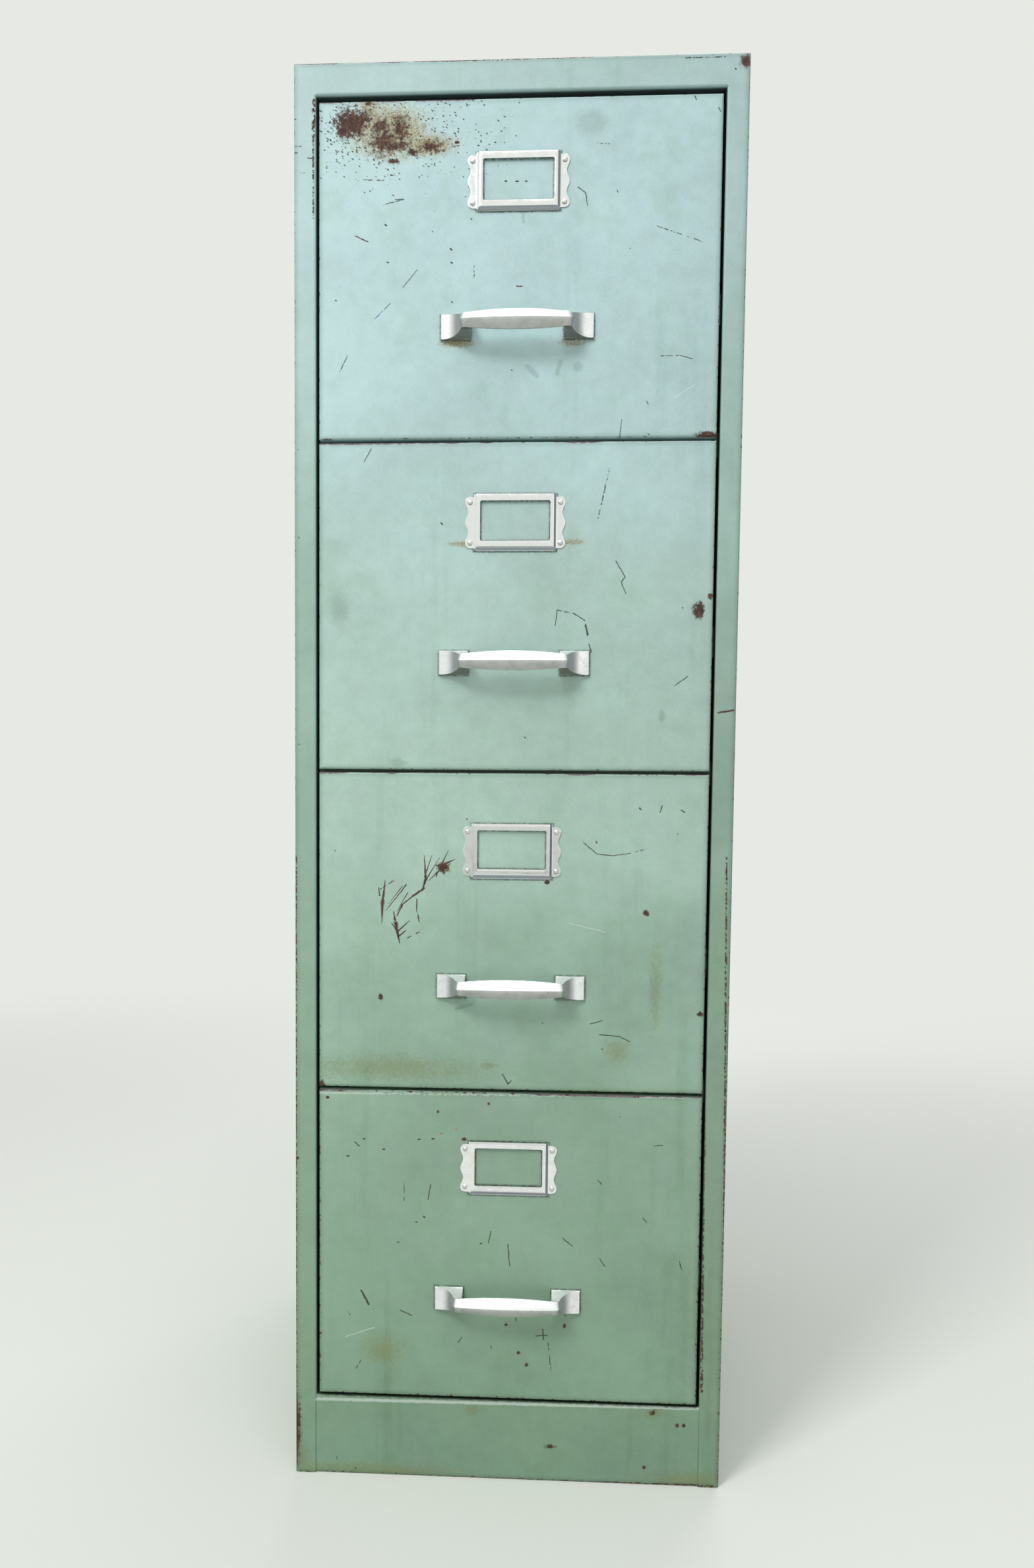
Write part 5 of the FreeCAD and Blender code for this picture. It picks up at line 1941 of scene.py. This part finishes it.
@dataclass
class Rivets:
    """The four domed rivets of a card holder."""

    number: int
    material: bpy.types.Material
    head_height: float = 0.0014
    segments: int = 28

    def build(self) -> None:
        """Set the rivets in their node's place."""
        node = f"drawer_{self.number}_label_rivets"
        low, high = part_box(node)
        head = (high.x - low.x) / 2 - self._reach()
        sizes = {
            "Spread": ((high.x - low.x) - 2 * head, (high.z - low.z) - 2 * head, 1.0),
            "Middle": ((low.x + high.x) / 2, low.y + self.head_height, (low.z + high.z) / 2),
            "Head": (head, self.head_height, head),
        }
        shape = Shape(f"rivet_set_{self.number}", sizes)
        spread = shape.node("ShaderNodeSeparateXYZ", {0: shape.given["Spread"]})
        sides = {"Size X": spread.outputs[0], "Size Y": spread.outputs[1]}
        corners = shape.node("GeometryNodeMeshGrid", {**sides, "Vertices X": 2, "Vertices Y": 2})
        upright = shape.move(
            corners.outputs[0], Translation=shape.given["Middle"], Rotation=(math.pi / 2, 0.0, 0.0)
        )
        heads = shape.set_on(upright, shape.ball(self.segments))
        shape.tree.links.new(shape.given["Head"], heads.inputs["Scale"])
        shape.finish(heads.outputs[0])
        piece = shape.grow(f"holder_rivets_{self.number}", self.material)
        install(piece, f"drawer_{self.number}", Slot.RIVET_METAL, node)

    def _reach(self) -> float:
        """How far the rivets stand from the holder's middle, along X."""
        low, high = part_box(f"drawer_{self.number}_label_holder")
        return (high.x - low.x) / 2 - CardHolder.ear_radius


@dataclass
class PullScrews:
    """The two cross-head screws that hold a pull from inside the drawer front."""

    number: int
    material: bpy.types.Material
    head_radius: float = 0.004
    head_height: float = 0.0024
    recess: Point = (0.0046, 0.0026, 0.0009)
    segments: int = 36

    def build(self) -> None:
        """Set the screws in their node's place."""
        node = f"drawer_{self.number}_handle_screws"
        low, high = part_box(node)
        apart = (high.x - low.x) - 2 * self.head_radius
        sizes = {
            "Apart": (apart, 0.0, 0.0),
            "First": (low.x + self.head_radius, high.y - self.head_height, (low.z + high.z) / 2),
            "Head": (self.head_radius, self.head_height, self.head_radius),
            "Recess": self.recess,
        }
        shape = Shape(f"pull_screw_set_{self.number}", sizes)
        cut = shape.move(shape.ball(self.segments), Scale=shape.given["Head"])
        slot = shape.node("GeometryNodeMeshCube", {"Size": shape.given["Recess"]}).outputs[0]
        raised = (0.0, self.head_height, 0.0)
        for turn in (math.pi / 4, -math.pi / 4):
            bar = shape.move(slot, Translation=raised, Rotation=(0.0, turn, 0.0))
            boolean = shape.node("GeometryNodeMeshBoolean", {"Mesh 1": cut}, operation="DIFFERENCE")
            shape.tree.links.new(bar, boolean.inputs["Mesh 2"])
            cut = boolean.outputs[0]
        shape.finish(shape.pair(cut))
        piece = shape.grow(f"pull_screws_{self.number}", self.material)
        install(piece, f"drawer_{self.number}", Slot.SCREW_STEEL, node)


@dataclass
class RollerPair:
    """Two turned rollers on one body, each with a rounded tread and a sunk web."""

    node: str
    body: str
    material: bpy.types.Material
    radius: float = 0.011
    width: float = 0.0046
    bore: float = 0.00305
    rim: float = 0.0028
    web_share: float = 0.62
    rounding: float = 0.0006
    segments: int = 64

    def build(self) -> None:
        """Turn the rollers and put them in their node's place."""
        low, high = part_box(self.node)
        middle = (low + high) / 2
        reach = high.x - self.width / 2
        sizes = {
            "First": (-reach, middle.y, middle.z),
            "Apart": (2 * reach, 0.0, 0.0),
            "Radius": self.radius,
            "Width": self.width,
            "Rim": self.rim,
            "Bore": self.bore,
        }
        shape = Shape(f"{self.node}_shape", sizes)
        given = shape.given
        inner = shape.calculate("SUBTRACT", given["Radius"], given["Rim"])
        tread = self._hoop(shape, inner, given["Radius"], given["Width"])
        web_width = shape.calculate("MULTIPLY", given["Width"], self.web_share)
        lapped = shape.calculate("ADD", inner, self.rounding)
        web = self._hoop(shape, given["Bore"], lapped, web_width)
        joined = shape.node("GeometryNodeJoinGeometry", {})
        for hoop in (tread, web):
            shape.tree.links.new(hoop, joined.inputs[0])
        roller = shape.move(joined.outputs[0], Rotation=(0.0, math.pi / 2, 0.0))
        shape.finish(shape.pair(roller))
        piece = shape.grow(f"turned_{self.node}", self.material)
        install(piece, self.body, Slot.ROLLER_STEEL, self.node)

    def _hoop(self, shape: Shape, inner: Value, outer: Value, width: Value) -> Socket:
        """A ring of rectangular section with rounded corners.

        Args:
            shape: The tree.
            inner: Its inner radius.
            outer: Its outer radius.
            width: Its width along the axle.

        Returns:
            The ring's mesh.
        """
        thick = shape.calculate("SUBTRACT", outer, inner)
        mean = shape.calculate("MULTIPLY", shape.calculate("ADD", outer, inner), 0.5)
        path = shape.node(
            "GeometryNodeCurvePrimitiveCircle", {"Resolution": self.segments, "Radius": mean}
        ).outputs[0]
        section = shape.node(
            "GeometryNodeCurvePrimitiveQuadrilateral", {"Width": thick, "Height": width}
        ).outputs[0]
        rounded = shape.node(
            "GeometryNodeFilletCurve",
            {"Curve": section, "Count": 4, "Radius": self.rounding},
            mode="POLY",
        ).outputs[0]
        return shape.node(
            "GeometryNodeCurveToMesh", {"Curve": path, "Profile Curve": rounded}
        ).outputs[0]


@dataclass(frozen=True)
class Studio:
    """A plain pale floor, a pale backdrop and soft lamps."""

    floor_half: float = 30.0
    pale: Colour = tint(231, 234, 228)
    merge_start: float = 1.2
    merge_end: float = 3.6
    ambient: float = 0.38
    roughness: float = 0.9
    lamps: tuple[tuple[str, Point, Point, float, float], ...] = (
        ("key", (-1.5, -2.6, 3.4), (0.0, -0.3, 0.6), 1.0, 66.0),
        ("top", (-0.1, -1.6, 4.2), (0.0, -0.2, 0.4), 1.8, 40.0),
        ("fill", (2.6, -3.4, 1.2), (0.0, -0.3, 0.5), 2.8, 14.0),
        ("rear", (0.6, 3.4, 2.8), (0.0, 0.3, 0.6), 2.8, 60.0),
    )

    def build(self) -> None:
        """Make the floor, the sky and the lamps."""
        scene = bpy.context.scene
        scene.view_settings.view_transform = "Standard"
        self._floor()
        self._sky(scene)
        for lamp in self.lamps:
            self._lamp(*lamp)

    def _floor(self) -> None:
        """A floor that fades into the backdrop's colour away from the cabinet."""
        graph, shader = start_material("studio_floor")
        place = graph.node("ShaderNodeTexCoord").outputs["Object"]
        shader.inputs["Base Color"].default_value = (*self.pale, 1)
        shader.inputs["Roughness"].default_value = self.roughness
        plain = graph.node("ShaderNodeEmission")
        plain.inputs["Color"].default_value = (*self.pale, 1)
        path = graph.node("ShaderNodeLightPath")
        away = graph.steer("LENGTH", place)
        share = graph.fit(away, self.merge_start, self.merge_end)
        share = graph.calculate("MULTIPLY", share, path.outputs["Is Camera Ray"])
        end = graph.tree.nodes["Material Output"].inputs["Surface"]
        graph.feed(end, self._mix(graph, share, shader.outputs[0], plain.outputs[0]))
        mesh = bmesh.new()
        corners = ((-1, -1), (1, -1), (1, 1), (-1, 1))
        mesh.faces.new(
            [mesh.verts.new((x * self.floor_half, y * self.floor_half, 0)) for x, y in corners]
        )
        data = bpy.data.meshes.new("studio_floor")
        mesh.to_mesh(data)
        mesh.free()
        data.materials.append(bpy.data.materials["studio_floor"])
        add_object("studio_floor", data)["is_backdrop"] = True

    def _sky(self, scene: bpy.types.Scene) -> None:
        """A world that looks pale to the camera and lights the cabinet from all round.

        Args:
            scene: The scene.
        """
        world = bpy.data.worlds.new("studio")
        world.use_nodes = True
        scene.world = world
        graph = Graph(world.node_tree)
        ground = graph.tree.nodes["Background"]
        ground.inputs["Color"].default_value = (1, 1, 1, 1)
        ground.inputs["Strength"].default_value = self.ambient
        seen = graph.node("ShaderNodeBackground")
        seen.inputs["Color"].default_value = (*self.pale, 1)
        path = graph.node("ShaderNodeLightPath")
        share: Value = 0.0
        for ray in ("Is Camera Ray", "Is Glossy Ray", "Is Transmission Ray"):
            share = graph.calculate("MAXIMUM", share, path.outputs[ray])
        end = graph.tree.nodes["World Output"].inputs["Surface"]
        graph.feed(end, self._mix(graph, share, ground.outputs[0], seen.outputs[0]))

    @staticmethod
    def _mix(graph: Graph, *parts: Value) -> Socket:
        """A share and two shaders, mixed by it."""
        return graph.node("ShaderNodeMixShader", dict(enumerate(parts))).outputs[0]

    @staticmethod
    def _lamp(name: str, place: Point, aim: Point, size: float, power: float) -> None:
        """A soft square lamp.

        Args:
            name: Its name.
            place: Where it hangs.
            aim: What it faces.
            size: The length of its side.
            power: Its power in watts.
        """
        data = bpy.data.lights.new(f"{name}_lamp", "AREA")
        data.size = size
        data.energy = power
        lamp = add_object(f"{name}_lamp", data)
        lamp.location = place
        away = Vector(place) - Vector(aim)
        lamp.rotation_euler = away.to_track_quat("Z", "Y").to_euler()


@dataclass
class Cabinet:
    """The whole cabinet: dresses the nodes that keep their shape and builds the finer pieces."""

    frame: dict
    camera: PhotoCamera
    gap_reach: float = 0.009
    effects: Effects = field(init=False)

    def __post_init__(self) -> None:
        """Build the shared effects and the metals."""
        self.effects = Effects()
        # Painted shade under the grip and on the flanks of the pull's feet.
        self.cast = BareMetal(
            self.effects,
            tint(243, 245, 245),
            tint(196, 202, 200),
            roughness=0.34,
            metallic=0.55,
            relief=0.000008,
            underside_shade_share=0.9,
            flank=tint(150, 154, 156),
            flank_shade_share=0.9,
            shade_both_flanks=True,
        ).build("cast_aluminium")
        # Painted shade on the holder's lower step and its right-facing step.
        self.pressed = BareMetal(
            self.effects,
            tint(247, 248, 248),
            tint(222, 224, 226),
            roughness=0.2,
            specks=0.02,
            relief=0.000002,
            under=tint(126, 136, 144),
            underside_shade_range=(-0.1, -0.4),
            underside_shade_share=0.85,
            flank=tint(108, 114, 126),
            flank_shade_range=(0.15, 0.5),
            flank_shade_share=0.9,
        ).build("pressed_aluminium")
        # Painted shade on the lower and right sides of the rivet heads.
        self.riveted = BareMetal(
            self.effects,
            tint(222, 222, 220),
            tint(160, 160, 160),
            roughness=0.32,
            specks=0.1,
            underside_shade_range=(-0.3, -0.8),
            underside_shade_share=0.7,
            flank_shade_share=0.6,
        ).build("rivet_aluminium")
        self.zinc = BareMetal(
            self.effects,
            tint(178, 180, 178),
            tint(128, 124, 112),
            roughness=0.38,
            brush=(900.0, 30.0, 900.0),
            specks=0.2,
        ).build("zinc_plated_steel")
        self.turned = BareMetal(
            self.effects,
            tint(196, 196, 192),
            tint(140, 134, 120),
            roughness=0.28,
            brush=(900.0, 120.0, 120.0),
            specks=0.12,
        ).build("turned_steel")
        self.rubber = Rubber().build("buffer_rubber")
        self.inner = PlainEnamel(self.effects).build("inner_enamel")

    def _enamel(self, fade_and_light_ramp: Ramp = Enamel.fade_and_light_ramp, gap_reach: float = 0.0) -> Enamel:
        """The enamel, fitted to this cabinet's size."""
        plane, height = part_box("drawer_1_front")[0].y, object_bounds()[1].z
        return Enamel(self.effects, self.camera, plane, height, fade_and_light_ramp, gap_reach=gap_reach)

    def dress(self, node: str, material: bpy.types.Material) -> None:
        """Give a node's own object its finish.

        Args:
            node: The node.
            material: Its finish.
        """
        piece = self.frame["nodes"][node]
        for place in piece.material_slots:
            place.material = material
        if not piece.material_slots:
            piece.data.materials.append(material)
        log.info("%s dressed in %s", node, material.name)

    def build(self) -> None:
        """Dress and build every sub-assembly."""
        self._dress_casing()
        self._dress_inside()
        for number in DRAWERS:
            self._dress_drawer(number)

    def _dress_casing(self) -> None:
        """The painted casing that shows from outside."""
        enamel = self._enamel(CASING_FADE_AND_LIGHT, self.gap_reach)
        whole = self._between(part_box("left_side")[0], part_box("right_side")[1])
        fronts = [self._face(f"drawer_{number}_front") for number in DRAWERS]
        top = max(middle[1] + half[1] for middle, half in fronts)
        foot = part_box("plinth")[1].z
        opening = ((0.0, (top + foot) / 2), (fronts[0][1][0], (top - foot) / 2))
        paint = enamel.build("casing_enamel", WORN_PLACES["casing"], whole, (opening,))
        for node in ("left_side", "right_side", "top_panel", "plinth", "back_panel"):
            self.dress(node, paint)

    def _face(self, node: str) -> Outline:
        """A node's middle and half size, seen from the front."""
        middle, half = self._between(*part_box(node))
        return (middle[0], middle[2]), (half[0], half[2])

    @staticmethod
    def _between(low: Vector, high: Vector) -> Block:
        """The middle and half size of the block between two corners."""
        return tuple((low + high) / 2), tuple((high - low) / 2)

    def _dress_inside(self) -> None:
        """The painted frame inside the casing, the fixed channels and the buffers."""
        for node in ("cabinet_floor", "runner_posts", "cross_rails"):
            self.dress(node, self.inner)
        self.dress("casing_runners", self.zinc)
        self.dress("rubber_buffers", self.rubber)

    def _seats(self, number: int) -> tuple[Outline, ...]:
        """Where the card holder, its window and the pull's feet meet their drawer front.

        Args:
            number: The drawer.

        Returns:
            Their middles and half sizes.
        """
        (across, up), (half, rise) = self._face(f"drawer_{number}_handle")
        foot = BowPull.foot_length / 2
        feet = [((across + side.value * (half - foot), up), (foot, rise)) for side in Side]
        middle, (_, tall) = self._face(f"drawer_{number}_label_holder")
        window = CardHolder.window_length / 2, CardHolder.window_height / 2
        level = middle[1] + tall - CardHolder.window_drop - window[1]
        frame = CardHolder.frame_length / 2, tall
        return (middle, frame), ((middle[0], level), window), *feet

    def _dress_drawer(self, number: int) -> None:
        """One drawer with its front, tray, fittings, cradle and rollers.

        Args:
            number: The drawer, 1 at the top.
        """
        front = f"drawer_{number}_front"
        paint = self._enamel().build(
            f"front_enamel_{number}",
            WORN_PLACES[front],
            self._between(*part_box(front)),
            self._seats(number),
        )
        self.dress(front, paint)
        self.dress(f"drawer_{number}_tray", self.inner)
        self.dress(f"drawer_{number}_runners", self.zinc)
        self.dress(f"cradle_{number}", self.zinc)
        BowPull(number, self.cast).build()
        CardHolder(number, self.pressed).build()
        Rivets(number, self.riveted).build()
        PullScrews(number, self.zinc).build()
        for kind in ("casing", "cradle_rear", "cradle_front", "drawer"):
            name = f"{kind}_rollers_{number}"
            RollerPair(name, name, self.turned).build()


def main() -> None:
    """Build the cabinet and light it."""
    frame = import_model()
    camera = PhotoCamera()
    camera.build()
    Studio().build()
    Cabinet(frame, camera).build()


if __name__ == "__main__":
    logging.basicConfig(level=logging.INFO, format="%(name)s: %(message)s")
    main()
